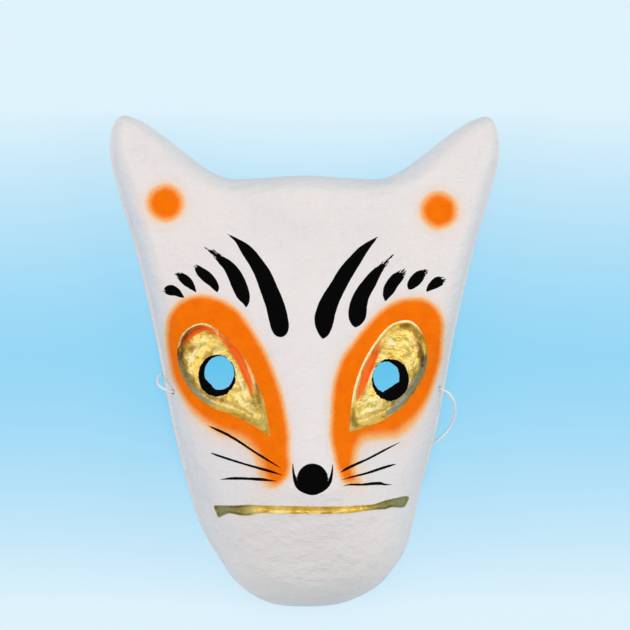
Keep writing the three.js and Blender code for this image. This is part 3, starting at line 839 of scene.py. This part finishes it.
def tube(line, radius, sides, closed=False):
    """A tube around a line; radius gives the distance of each point from its middle"""
    if closed:
        tangents = unit(np.roll(line, -1, axis=0) - np.roll(line, 1, axis=0))
    else:
        tangents = unit(np.gradient(line, axis=0))
    normal = np.cross(tangents[0], TUBE_START)
    angles = np.arange(sides) * 2 * math.pi / sides
    vertices = []
    travelled = 0
    for i, (place, tangent) in enumerate(zip(line, tangents)):
        normal = normal - tangent * (normal @ tangent)
        normal /= np.linalg.norm(normal)
        binormal = np.cross(tangent, normal)
        if i:
            travelled += np.linalg.norm(place - line[i - 1])
        reach = radius(angles, travelled)
        ring = np.cos(angles)[:, None] * normal + np.sin(angles)[:, None] * binormal
        vertices.append(place + ring * reach[:, None])
    faces = []
    count = len(line)
    for i in range(count if closed else count - 1):
        here = i * sides
        ahead = (i + 1) % count * sides
        faces += [[here + k, here + (k + 1) % sides, ahead + (k + 1) % sides, ahead + k]
                  for k in range(sides)]
    return np.concatenate(vertices), faces


def twisted(angles, travelled):
    turn = 2 * math.pi * travelled / STRING_PITCH
    lobes = np.abs(np.cos(STRING_STRANDS / 2 * (angles - turn)))
    return STRING_DIAMETER / 2 * (1 - STRING_LOBES + STRING_LOBES * lobes)


def knotted(angles, travelled):
    return np.full(len(angles), KNOT_STRAND)


def make_string(material):
    route = evenly(curve_through(STRING_ROUTE), STRING_STEP)
    cord, faces = tube(route, twisted, STRING_SIDES)
    vertices = [cord]
    count = len(cord)
    turns = np.linspace(0, 2 * math.pi, KNOT_STEPS, endpoint=False)
    trefoil = np.stack([np.sin(turns) + 2 * np.sin(2 * turns), np.cos(turns) - 2 * np.cos(2 * turns),
                        -KNOT_HEIGHT * np.sin(3 * turns)], axis=1) * KNOT_SIZE / 3
    for end in (route[0], route[-1]):
        knot, knot_faces = tube(trefoil + end, knotted, KNOT_SIDES, closed=True)
        faces += [[corner + count for corner in face] for face in knot_faces]
        vertices.append(knot)
        count += len(knot)
    faces += [list(range(STRING_SIDES))[::-1], list(range(len(cord) - STRING_SIDES, len(cord)))]
    string = make_object("string_cord", np.concatenate(vertices), faces, [material])
    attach(string, "root")
    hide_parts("string")


# Materials

class Nodes:
    """One material's nodes, with a short way to add each kind"""

    def __init__(self, name):
        self.material = bpy.data.materials.new(name)
        self.material.use_nodes = True
        self.tree = self.material.node_tree
        self.places = self.add("TexCoord", "Object")

    def plug(self, socket, value):
        if isinstance(value, bpy.types.NodeSocket):
            self.tree.links.new(value, socket)
        else:
            socket.default_value = value

    def add(self, kind, output, inputs=None, **settings):
        """A new node; gives the output of that name or number"""
        made = self.tree.nodes.new("ShaderNode" + kind)
        for name, value in settings.items():
            setattr(made, name, value)
        for name, value in (inputs or {}).items():
            self.plug(made.inputs[name], value)
        return made.outputs[output]

    def math(self, operation, *values, clamp=False):
        return self.add("Math", 0, dict(enumerate(values)), operation=operation, use_clamp=clamp)

    def plus(self, first, second):
        return self.math("ADD", first, second)

    def minus(self, first, second):
        return self.math("SUBTRACT", first, second)

    def times(self, first, second):
        return self.math("MULTIPLY", first, second)

    def most(self, first, second):
        return self.math("MAXIMUM", first, second)

    def ramp(self, value, low, high, start=0.0, end=1.0):
        """Goes smoothly from start to end while the value goes from low to high"""
        inputs = {"Value": value, "From Min": low, "From Max": high, "To Min": start, "To Max": end}
        return self.add("MapRange", "Result", inputs, interpolation_type="SMOOTHSTEP")

    def mix(self, share, first, second):
        return self.add("Mix", 2, {0: share, 6: first, 7: second}, data_type="RGBA")

    def noise(self, scale, detail=3, roughness=0.5, stretch=(1, 1, 1), shift=(0, 0, 0), at=None):
        """Noise with so many lumps to a metre"""
        inputs = {"Vector": self.places if at is None else at, "Scale": stretch, "Location": shift}
        mapped = self.add("Mapping", "Vector", inputs)
        inputs = {"Vector": mapped, "Scale": scale, "Detail": detail, "Roughness": roughness}
        return self.add("TexNoise", "Fac", inputs)

    def bump(self, height, relief, normal=None):
        """A relief on top of the one before it"""
        inputs = {"Strength": relief[0], "Distance": relief[1], "Height": height}
        if normal is not None:
            inputs["Normal"] = normal
        return self.add("Bump", "Normal", inputs)

    def attribute(self, name, output="Fac"):
        return self.add("Attribute", output, attribute_name=name)

    def wavered(self, depth, waves, amount):
        """A painted shape's depth with an uneven edge"""
        return self.plus(depth, self.times(self.minus(waves, 0.5), amount))

    def finished(self, inputs):
        """The material, with its shader's inputs set"""
        shader = self.tree.nodes["Principled BSDF"]
        for name, value in inputs.items():
            self.plug(shader.inputs[name], value)
        return self.material


WHITE = (0.79, 0.775, 0.775, 1)
WHITE_SHADE = (0.73, 0.72, 0.73, 1)
PEACH = (0.92, 0.50, 0.19, 1)
ORANGE = (0.93, 0.187, 0.001, 1)
ORANGE_DEEP = (0.88, 0.165, 0.0005, 1)
BLACK = (0.0006, 0.0005, 0.0006, 1)
# Red over the gold: paint, and a painted reflection of the orange
RED_GOLD_PAINT_AND_REFLECTION = (0.98, 0.17, 0.015, 1)
# Painted shade in the eyes' walls
BROWN_PAINTED_SHADE = (0.10, 0.028, 0.008, 1)
# Painted reflection in the eyes' walls
GREY_BLUE_PAINTED_REFLECTION = (0.26, 0.35, 0.37, 1)
# Painted highlight on the gold
PALE_GOLD_PAINTED_HIGHLIGHT = (1.0, 0.90, 0.48, 1)
GOLD = (0.79, 0.59, 0.13, 1)
GOLD_PALE = (0.93, 0.77, 0.29, 1)
GOLD_DARK = (0.34, 0.19, 0.02, 1)
# Painted dark reflection on the mouth's ends
GOLD_PAINTED_DARK_REFLECTION = (0.22, 0.20, 0.09, 1)
PAPER = (0.60, 0.57, 0.51, 1)
PAPER_DARK = (0.50, 0.47, 0.41, 1)
PAPER_FIBRE = (0.70, 0.67, 0.61, 1)
COTTON = (0.92, 0.92, 0.93, 1)
COTTON_SHADE = (0.78, 0.78, 0.80, 1)
# How far in and out each painted edge fades, and how far it wavers
SPRAY_EDGE = (-2.1, 3.1)
SPRAY_DRIFT = 0.5
SPRAY_SPECKLE = 2
MIST_EDGE = (-5.5, 0.5, 0.0, 0.16)
PEACH_WITHIN = (0, 0.45)
ORANGE_WITHIN = (0.3, 0.95)
GILT_EDGE = (-0.06, 0.06)
GILT_WAVER = 0.35
THIN_EDGE = (-0.5, 0.4)
INK_EDGE = (-0.08, 0.1)
INK_WAVER = 0.25
PUPIL_EDGE = (-0.08, 0.12)
PUPIL_WAVER = 1.6
# Reliefs: strength, and distance in metres
CLOUD_RELIEF = (0.5, 0.0012)
CRINKLE_RELIEF = (0.7, 0.0028)
BRUSHED_RELIEF = (0.5, 0.0001)
GRAIN_RELIEF = (0.35, 0.00012)
HAMMERED_RELIEF = (0.7, 0.0009)
FIBRE_RELIEF = (0.6, 0.0004)
COTTON_RELIEF = (0.6, 0.00015)
# Red paint and painted light and shade over the gold: attribute, colour, cover and how wavy its edge is
MARKS_OVER_GOLD = [("grey", GREY_BLUE_PAINTED_REFLECTION, 0.66, 1.6), ("brown", BROWN_PAINTED_SHADE, 0.75, 3), ("red", RED_GOLD_PAINT_AND_REFLECTION, 0.95, 1.3),
               ("pale", PALE_GOLD_PAINTED_HIGHLIGHT, 0.9, 1.9)]


def painted_paper():
    nodes = Nodes("painted_paper")
    # White ground, brushed on, with a soft grain
    clouds = nodes.noise(28, 2)
    streaks = nodes.noise(60, 4, 0.6, (9, 1, 1))
    level_streaks = nodes.noise(60, 4, 0.6, (1, 8, 1))
    chin = nodes.ramp(nodes.attribute("chin"), 0, 1)
    brushed = nodes.plus(nodes.times(streaks, nodes.minus(1.0, chin)), nodes.times(level_streaks, chin))
    shade = nodes.plus(nodes.times(clouds, 0.6), nodes.times(brushed, 0.25))
    ground = nodes.mix(nodes.ramp(shade, 0.35, 0.75), WHITE, WHITE_SHADE)
    # Orange, sprayed on with a soft, speckled edge
    speckle = nodes.noise(1900, 2, 0.7)
    drift = nodes.noise(170, 2)
    depth = nodes.wavered(nodes.attribute("spray"), drift, SPRAY_DRIFT)
    depth = nodes.wavered(depth, speckle, SPRAY_SPECKLE)
    spray = nodes.most(nodes.ramp(depth, *SPRAY_EDGE), nodes.ramp(depth, *MIST_EDGE))
    orange = nodes.mix(nodes.ramp(drift, 0.3, 0.7), ORANGE, ORANGE_DEEP)
    colour = nodes.mix(nodes.ramp(spray, *PEACH_WITHIN), ground, PEACH)
    colour = nodes.mix(nodes.ramp(spray, *ORANGE_WITHIN), colour, orange)
    # Gold in the eyes and the mouth, patchy and flecked, with red paint and painted light and shade over
    # it
    depth = nodes.wavered(nodes.attribute("gilt"), nodes.noise(900, 2), GILT_WAVER)
    gilt = nodes.ramp(depth, *GILT_EDGE)
    dabs = nodes.noise(190, 2)
    patches = nodes.noise(130, 2, shift=(3, 1, 7))
    flecks = nodes.noise(420, 2, shift=(5, 2, 1))
    gold = nodes.mix(nodes.ramp(dabs, 0.4, 0.65), GOLD, GOLD_PALE)
    patchy = nodes.minus(0.75, nodes.times(nodes.attribute("mouth"), 0.55))
    gold = nodes.mix(nodes.times(nodes.ramp(patches, 0.5, 0.68), patchy), gold, GOLD_DARK)
    # Painted dark reflection towards the mouth's ends
    gold = nodes.mix(nodes.attribute("dull"), gold, GOLD_PAINTED_DARK_REFLECTION)
    gold = nodes.mix(nodes.ramp(flecks, 0.55, 0.72, 0.0, 0.45), gold, GOLD_DARK)
    waver = nodes.noise(350, 3, 0.6)
    marked_gold = 0.0
    for name, mark_colour, cover, waves in MARKS_OVER_GOLD:
        depth = nodes.wavered(nodes.attribute(name), waver, waves)
        there = nodes.ramp(depth, *THIN_EDGE, 0.0, cover)
        gold = nodes.mix(there, gold, mark_colour)
        marked_gold = nodes.most(marked_gold, there)
    colour = nodes.mix(gilt, colour, gold)
    # Black: the pupils, the nose and the brush strokes, dry at their tips
    bristles = nodes.noise(1, 3, 0.6, (0.35, 2.2, 1), at=nodes.attribute("stroke", "Vector"))
    crumbs = nodes.noise(1300, 2, 0.6)
    dry = nodes.plus(nodes.ramp(bristles, 0.46, 0.66, 0.0, 1.5), nodes.ramp(crumbs, 0.5, 0.65, 0.0, 0.7))
    depth = nodes.minus(nodes.attribute("ink"), nodes.times(nodes.attribute("fray"), dry))
    ink = nodes.ramp(nodes.wavered(depth, nodes.noise(500, 2), INK_WAVER), *INK_EDGE)
    depth = nodes.wavered(nodes.attribute("pupil"), nodes.noise(420, 3, 0.65), PUPIL_WAVER)
    black = nodes.most(ink, nodes.ramp(depth, *PUPIL_EDGE))
    colour = nodes.mix(black, colour, BLACK)
    # Gold shines, black is a little glossy, and the white is nearly matt
    shine = nodes.times(gilt, nodes.minus(1.0, black))
    metal = nodes.times(shine, nodes.math("MULTIPLY_ADD", marked_gold, -0.65, 0.7))
    rough = nodes.times(nodes.ramp(streaks, 0.3, 0.7, 0.5, 0.62), nodes.minus(1.0, shine))
    rough = nodes.plus(rough, nodes.times(nodes.ramp(dabs, 0.3, 0.7, 0.34, 0.48), shine))
    crinkles = nodes.noise(95, 4, 0.6, (1, 1.5, 1))
    grain = nodes.noise(1500, 3, 0.6)
    hammered = nodes.times(nodes.noise(260), gilt)
    normal = None
    for height, relief in ((clouds, CLOUD_RELIEF), (crinkles, CRINKLE_RELIEF), (brushed, BRUSHED_RELIEF),
                           (grain, GRAIN_RELIEF), (hammered, HAMMERED_RELIEF)):
        normal = nodes.bump(height, relief, normal)
    return nodes.finished({"Base Color": colour, "Specular IOR Level": 0.03, "Metallic": metal,
                           "Roughness": rough, "Normal": normal})


def bare_paper():
    nodes = Nodes("bare_paper")
    fibres = nodes.noise(420, 4, 0.65)
    clouds = nodes.noise(45)
    colour = nodes.mix(nodes.ramp(clouds, 0.3, 0.7), PAPER, PAPER_DARK)
    colour = nodes.mix(nodes.ramp(fibres, 0.55, 0.75, 0.0, 0.5), colour, PAPER_FIBRE)
    normal = nodes.bump(clouds, CLOUD_RELIEF, nodes.bump(fibres, FIBRE_RELIEF))
    return nodes.finished({"Base Color": colour, "Roughness": 0.85, "Normal": normal})


def cotton():
    nodes = Nodes("white_cotton")
    fibres = nodes.noise(2500, 3, 0.6)
    colour = nodes.mix(nodes.ramp(fibres, 0.35, 0.7), COTTON, COTTON_SHADE)
    return nodes.finished({"Base Color": colour, "Roughness": 0.8, "Sheen Weight": 0.3,
                           "Normal": nodes.bump(fibres, COTTON_RELIEF)})


# The mask

def edge_points(rows):
    """The rows' points, without those that another stretch of the rim is nearer to"""
    return np.concatenate([places[nearest_distance(places, rim_dense) > distance - CROSSING]
                           for places, distance in rows])


def outside(points, loops):
    for loop in loops:
        points = points[~is_inside(points, loop)]
    return points


def clear_of(points, border, gap):
    return points[depth_inside(points, border, NEAR) < -gap]


def field_points(spacing, gap):
    """An even grid inside the rounded edge"""
    field = hexagons(spacing)
    field = field[is_inside(field, rim_dense)]
    return field[nearest_distance(field, rim_dense) > edge_width(field[:, 1]) + gap]


def string_hole_rings(growths):
    return [oval(place, np.array(STRING_HOLE_SIZE) + 2 * grown, STRING_HOLE_POINTS)
            for place in STRING_HOLES for grown in growths]


def outer_points():
    """Loose points over the outer face, between the rounded edge's strip and the holes"""
    edge = edge_points([strip_row(row) for row in range(STRIP_ROWS + 1, EDGE_ROWS + 1)])
    string_rings = string_hole_rings(STRING_RINGS)
    edge = outside(edge, string_rings[::len(STRING_RINGS)])
    edge = thinned(edge, np.concatenate(holes[2:] + string_rings), EDGE_GAP)
    strokes = np.concatenate([onto_face(stroke_points(line)) for line in brow_lines + thin_lines])
    spaced = [strokes[0]]
    for point in strokes[1:]:
        if min(np.hypot(*(point - other)) for other in spaced[-STROKE_LOOKS_BACK:]) > STROKE_GAP:
            spaced.append(point)
    strokes = clear_of(np.array(spaced), mouth_border, STROKES_CLEAR["mouth"])
    field = clear_of(field_points(OUTER_SPACING, FIELD_GAP), mouth_border, FIELD_CLEAR["mouth"])
    grid = hexagons(EYE_SPACING)
    eye_zone = []
    for eye, hole in zip(EYES, holes):
        border = eye["border"]
        strokes = clear_of(strokes, border, STROKES_CLEAR["eye"])
        field = clear_of(field, border, FIELD_CLEAR["eye"])
        hole_rings = around(hole, HOLE_RINGS)
        hole_points = np.concatenate([hole, hole_rings])
        rings = thinned(outside(around(border, EYE_RINGS), [hole]), hole_points, RING_GAP)
        near = grid[(np.abs(grid - np.array(eye["pupil"])) < EYE_ZONE).all(axis=1)]
        near = near[depth_inside(near, border, NEAR) > EYE_GRID_DEPTH]
        eye_zone += [rings, hole_rings, thinned(outside(near, [hole]), hole_points, EYE_GRID_GAP)]
    mouth = around(mouth_border, MOUTH_RINGS)
    field = thinned(field, strokes, FIELD_GAP)
    return np.concatenate([edge] + string_rings + [strokes] + eye_zone + [mouth, field])


def inner_points():
    """Loose points over the inner face, further apart"""
    rows = [strip_row(row) for row in range(STRIP_ROWS + 2, EDGE_ROWS + 1, INNER_ROW_STEP)]
    edge = edge_points([(places[::2], distance[::2]) for places, distance in rows])
    string_rings = string_hole_rings(INNER_STRING_RINGS)
    edge = thinned(outside(edge, string_rings), np.concatenate(string_rings), INNER_EDGE_GAP)
    hole_rings = [around(hole, INNER_HOLE_RINGS) for hole in holes[:2]]
    pressed_in = [around(eye["border"][::3], INNER_EYE_RINGS) for eye in EYES]
    pressed_in.append(around(mouth_border[::3], INNER_MOUTH_RINGS))
    field = thinned(field_points(INNER_SPACING, INNER_GAP), np.concatenate(pressed_in), INNER_GAP)
    loose = outside(np.concatenate(pressed_in + [field]), hole_rings)
    loose = thinned(loose, np.concatenate(hole_rings), INNER_HOLE_GAP)
    return np.concatenate([edge] + string_rings + hole_rings + [loose])


def vertex_normals(vertices, triangles):
    a, b, c = (vertices[triangles[:, k]] for k in range(3))
    facing = np.cross(b - a, c - a)
    normals = np.zeros_like(vertices)
    for k in range(3):
        np.add.at(normals, triangles[:, k], facing)
    return unit(normals)


def layered(rows, points):
    """A mesh of closed rows outside and triangles inside: vertices, distances, triangles and loops"""
    columns = len(rim_columns)
    boundary = rows[-1][0]
    places, triangles, moved = triangulate(points, [boundary] + holes)
    gaps = nearest_distance(places, rim_dense)
    gaps[moved[:columns]] = rows[-1][1]
    first = columns * (len(rows) - 1)
    plan = np.concatenate([row[0] for row in rows[:-1]] + [places])
    gaps = np.concatenate([row[1] for row in rows[:-1]] + [gaps])
    indices = [np.arange(columns) + columns * i for i in range(len(rows) - 1)]
    indices.append(moved[:columns] + first)
    faces = [strip(lower, upper) for lower, upper in zip(indices, indices[1:])]
    loops = []
    start = columns
    for hole in holes:
        loops.append(moved[start:start + len(hole)] + first)
        start += len(hole)
    return plan, gaps, np.concatenate(faces + [triangles + first]), indices, loops


def lip_rows():
    rows = []
    for row in range(LIP_ROWS):
        distance = LIP_WIDTH * (1 - math.cos(row / LIP_ROWS * math.pi / 2) ** (2 / LIP_ROUNDNESS))
        distances = np.full(len(rim_columns), distance)
        rows.append((rim_columns + rim_inward * distance, distances))
    return rows


def make_mask(materials):
    rows = lip_rows() + [strip_row(row) for row in range(STRIP_ROWS + 1)]
    plan, gaps, faces, outer_rows, outer_loops = layered(rows, outer_points())
    drop, eyes, mouth = pressed(plan)
    outer = np.column_stack([plan, base_height(plan, gaps) - drop])
    gilt = np.maximum(eyes, mouth)
    calm = smoothstep(gaps, *OUTER_LUMPS_START) * smoothstep(-gilt, *LUMPS_LEAVE_GOLD)
    relief = relief_of(outer, OUTER_LUMPS) * calm
    relief += relief_of(outer, GOLD_DABS) * smoothstep(gilt, *GOLD_DABS_START)
    outer = outer + vertex_normals(outer, faces) * relief[:, None]

    rows = [strip_row(row) for row in range(0, STRIP_ROWS + 1, 2)]
    plan, gaps, inner_faces, inner_rows, inner_loops = layered(rows, inner_points())
    base = np.column_stack([plan, base_height(plan, gaps)])
    normals = vertex_normals(base, inner_faces)
    eye_depths = [depth_inside(plan, eye["border"]) for eye in EYES]
    upright = smoothstep(np.maximum(*eye_depths), *UPRIGHT_BY_EYES)[:, None]
    thick = np.column_stack([np.zeros_like(plan), WALL / np.maximum(normals[:, 2], STEEPEST)])
    inner = base - normals * WALL * (1 - upright) - thick * upright
    inner[:, 2] -= MOUTH_DEPTH * smoothstep(depth_inside(plan, mouth_border), *INNER_MOUTH_SLOPE)
    for eye, depth in zip(EYES, eye_depths):
        inner[:, 2] -= eyeball(eye_share(plan, eye)[0]) * smoothstep(depth, *INNER_EYE_SLOPE)
    slant = math.hypot(LIP_WIDTH, LIP_HEIGHT) / LIP_HEIGHT
    foot = rim_columns + rim_inward * WALL * slant
    inner[inner_rows[0]] = np.column_stack([foot, rim_height(rim_columns[:, 1])])
    inner[:, 2] += relief_of(inner, INNER_LUMPS) * smoothstep(gaps, *INNER_LUMPS_START)

    first = len(outer)
    walls = [strip(outer_loop, inner_loop + first)
             for outer_loop, inner_loop in zip(outer_loops, inner_loops)]
    rim_faces = strip(inner_rows[0] + first, outer_rows[0])
    everything = np.concatenate([faces] + walls + [inner_faces[:, ::-1] + first, rim_faces])
    painted = len(faces) + sum(len(wall) for wall in walls)
    bare = (np.arange(len(everything)) >= painted).astype(np.int32)
    vertices = np.concatenate([outer, inner])
    mask = make_object("fox_mask", vertices, everything.tolist(), materials, bare)
    mask.data.set_sharp_from_angle(angle=math.radians(SHARP_TURN))
    paint(mask.data, vertices, first)
    drop_loose_points(mask.data)
    return mask


def drop_loose_points(mesh):
    """Takes out the points that no face uses, such as those over a hole"""
    editable = bmesh.new()
    editable.from_mesh(mesh)
    loose = [point for point in editable.verts if not point.link_faces]
    bmesh.ops.delete(editable, geom=loose, context="VERTS")
    editable.to_mesh(mesh)
    editable.free()


def paint(mesh, vertices, outer_count):
    """Keeps at each vertex how deep it lies in each painted shape"""
    seen = as_seen(vertices)
    plan = vertices[:, :2]
    nowhere = np.full(len(vertices), -float(FAR))
    spray = nowhere
    for outline in SPRAYED:
        spray = np.maximum(spray, depth_inside(seen, closed_loop(outline, SPRAY_SPACING), SPRAY_REACH))
    low = smoothstep(-seen[:, 1], *SPRAY_WIDENS_OVER)
    aside = smoothstep(np.abs(seen[:, 0] - NOSE_PLACE[0]), *SPRAY_CRISP_BY_NOSE)
    spray = spray / (1 + SPRAY_WIDENS * low * aside)
    for place in EAR_DOTS:
        away = np.hypot(*(seen - np.array(place)).T)
        spray = np.maximum(spray, (EAR_DOT_RADIUS - away) / EAR_DOT_SOFTNESS)
    ink = nowhere.copy()
    stroke = np.zeros((len(vertices), 3))
    fray = np.zeros(len(vertices))
    frays = [frayed for frayed, path in BROWS] + [0] * len(thin_lines)
    for number, (line, frayed) in enumerate(zip(brow_lines + thin_lines, frays)):
        depth, along, across = stroke_depth(seen, line)
        better = depth > ink
        ink[better] = depth[better]
        shift = np.full(len(along), BRISTLE_SHIFT * number)
        stroke[better] = np.column_stack([along, across, shift])[better]
        dry = frayed * (STROKE_STEP * len(line))
        fray[better] = smoothstep(dry - along, 0, dry)[better] if frayed else 0
    offset = seen - np.array(NOSE_PLACE)
    offset[:, 1] *= np.where(offset[:, 1] < 0, NOSE_DROOP, 1)
    nose = NOSE_RADIUS - np.hypot(*offset.T)
    fray[nose > ink] = 0
    ink = np.maximum(ink, nose)
    pupil = nowhere
    for place in PUPIL_PLACES:
        offset = (seen - np.array(place)) / np.array(PUPIL_SIZE)
        pupil = np.maximum(pupil, (1 - np.hypot(*offset.T)) * min(PUPIL_SIZE))
    _, eyes, mouth = pressed(plan)
    gilt = np.maximum(eyes, mouth)
    for values in (spray, ink, pupil, gilt):
        values[outer_count:] = -FAR
    layers = {name: np.max([stroke_depth(seen, line)[0] for line in lines], axis=0)
              for name, lines in lines_over_gold.items()}
    # A painted highlight along each eye's edge, on the side that faces the light
    for eye in EYES:
        inside = depth_inside(plan, eye["border"])
        bright = bright_way(eye_share(plan, eye)[1], eye)
        edge = (eye["bright_edge"] - np.abs(inside - eye["bright_edge"])) * bright
        layers["pale"] = np.maximum(layers["pale"], np.where(bright > BRIGHT_LEAST, edge, -FAR))
    # Painted dark reflection on the mouth's gold, stronger towards both ends
    dull = smoothstep(np.abs(seen[:, 0] - DARK_REFLECTION_MIDDLE), *DARK_REFLECTION_OVER) * DARK_REFLECTION_MOST
    layers.update({"spray": spray, "ink": ink, "pupil": pupil, "gilt": gilt, "fray": fray,
                   "dull": dull * (mouth > -MOUTH_REACH), "mouth": smoothstep(mouth, -1, 0),
                   "chin": smoothstep(-vertices[:, 1], *CHIN_BRUSHED)})
    for name, values in layers.items():
        layer = mesh.attributes.new(name, "FLOAT", "POINT")
        layer.data.foreach_set("value", values.astype(np.float32))
    layer = mesh.attributes.new("stroke", "FLOAT_VECTOR", "POINT")
    layer.data.foreach_set("vector", stroke.astype(np.float32).ravel())


# The table and the light

FLOOR = (0.19, 0.16, 0.10, 1)
FLOOR_CLOUDS = (0.21, 0.18, 0.12, 1)
FLOOR_HALF_WIDTH = 2000
# The table glows blue, deeply along its middle and palely on both sides of it
FLOOR_GLOW = (0.118, 0.583, 0.921, 1)
FLOOR_GLOW_PALE = (0.60, 0.82, 0.98, 1)
FLOOR_GLOW_STRENGTH = 0.88
FLOOR_DEEP_Y = 2
FLOOR_DEEP_REACH = 110
FLOOR_DEEP_CURVE = 1.53
# Each light's place in metres, its width, power and colour; all of them face the origin
LIGHTS = {
    "key": ((-0.1, 0.48, 1.45), 0.9, 5.7, (0.93, 0.97, 1)),
    "right fill": ((1.1, 0.1, 0.9), 0.8, 5.8, (1, 0.88, 0.86)),
    "left fill": ((-1.1, 0.02, 0.8), 0.8, 4.5, (1, 0.81, 0.83)),
}
STUDIO_COLOUR = (1, 0.98, 0.95, 1)
STUDIO_STRENGTH = 0.54


def make_floor():
    nodes = Nodes("pale_floor")
    away = nodes.minus(nodes.add("SeparateXYZ", "Y", {0: nodes.places}), FLOOR_DEEP_Y * MM)
    paler = nodes.math("DIVIDE", nodes.math("ABSOLUTE", away), FLOOR_DEEP_REACH * MM, clamp=True)
    paler = nodes.math("POWER", paler, FLOOR_DEEP_CURVE)
    material = nodes.finished({
        "Base Color": nodes.mix(nodes.noise(3, 2), FLOOR, FLOOR_CLOUDS), "Roughness": 0.9,
        "Specular IOR Level": 0.1, "Emission Color": nodes.mix(paler, FLOOR_GLOW, FLOOR_GLOW_PALE),
        "Emission Strength": FLOOR_GLOW_STRENGTH})
    corners = np.array([(-1, -1, 0), (1, -1, 0), (1, 1, 0), (-1, 1, 0)]) * FLOOR_HALF_WIDTH
    make_object("floor", corners, [(0, 1, 2, 3)], [material])


def light_the_scene():
    world = bpy.data.worlds.new("studio")
    world.use_nodes = True
    background = world.node_tree.nodes["Background"]
    background.inputs["Color"].default_value = STUDIO_COLOUR
    background.inputs["Strength"].default_value = STUDIO_STRENGTH
    bpy.context.scene.world = world
    for name, (place, width, power, colour) in LIGHTS.items():
        data = bpy.data.lights.new(name, "AREA")
        data.shape = "SQUARE"
        data.size = width
        data.energy = power
        data.color = colour
        lamp = add_object(name, data)
        lamp.location = place
        lamp.rotation_euler = (-Vector(place)).to_track_quat("-Z", "Y").to_euler()


bpy.context.scene.view_settings.view_transform = "Standard"
make_camera()
make_string(cotton())
mask = make_mask([painted_paper(), bare_paper()])
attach(mask, "root")
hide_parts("mask")
make_floor()
light_the_scene()
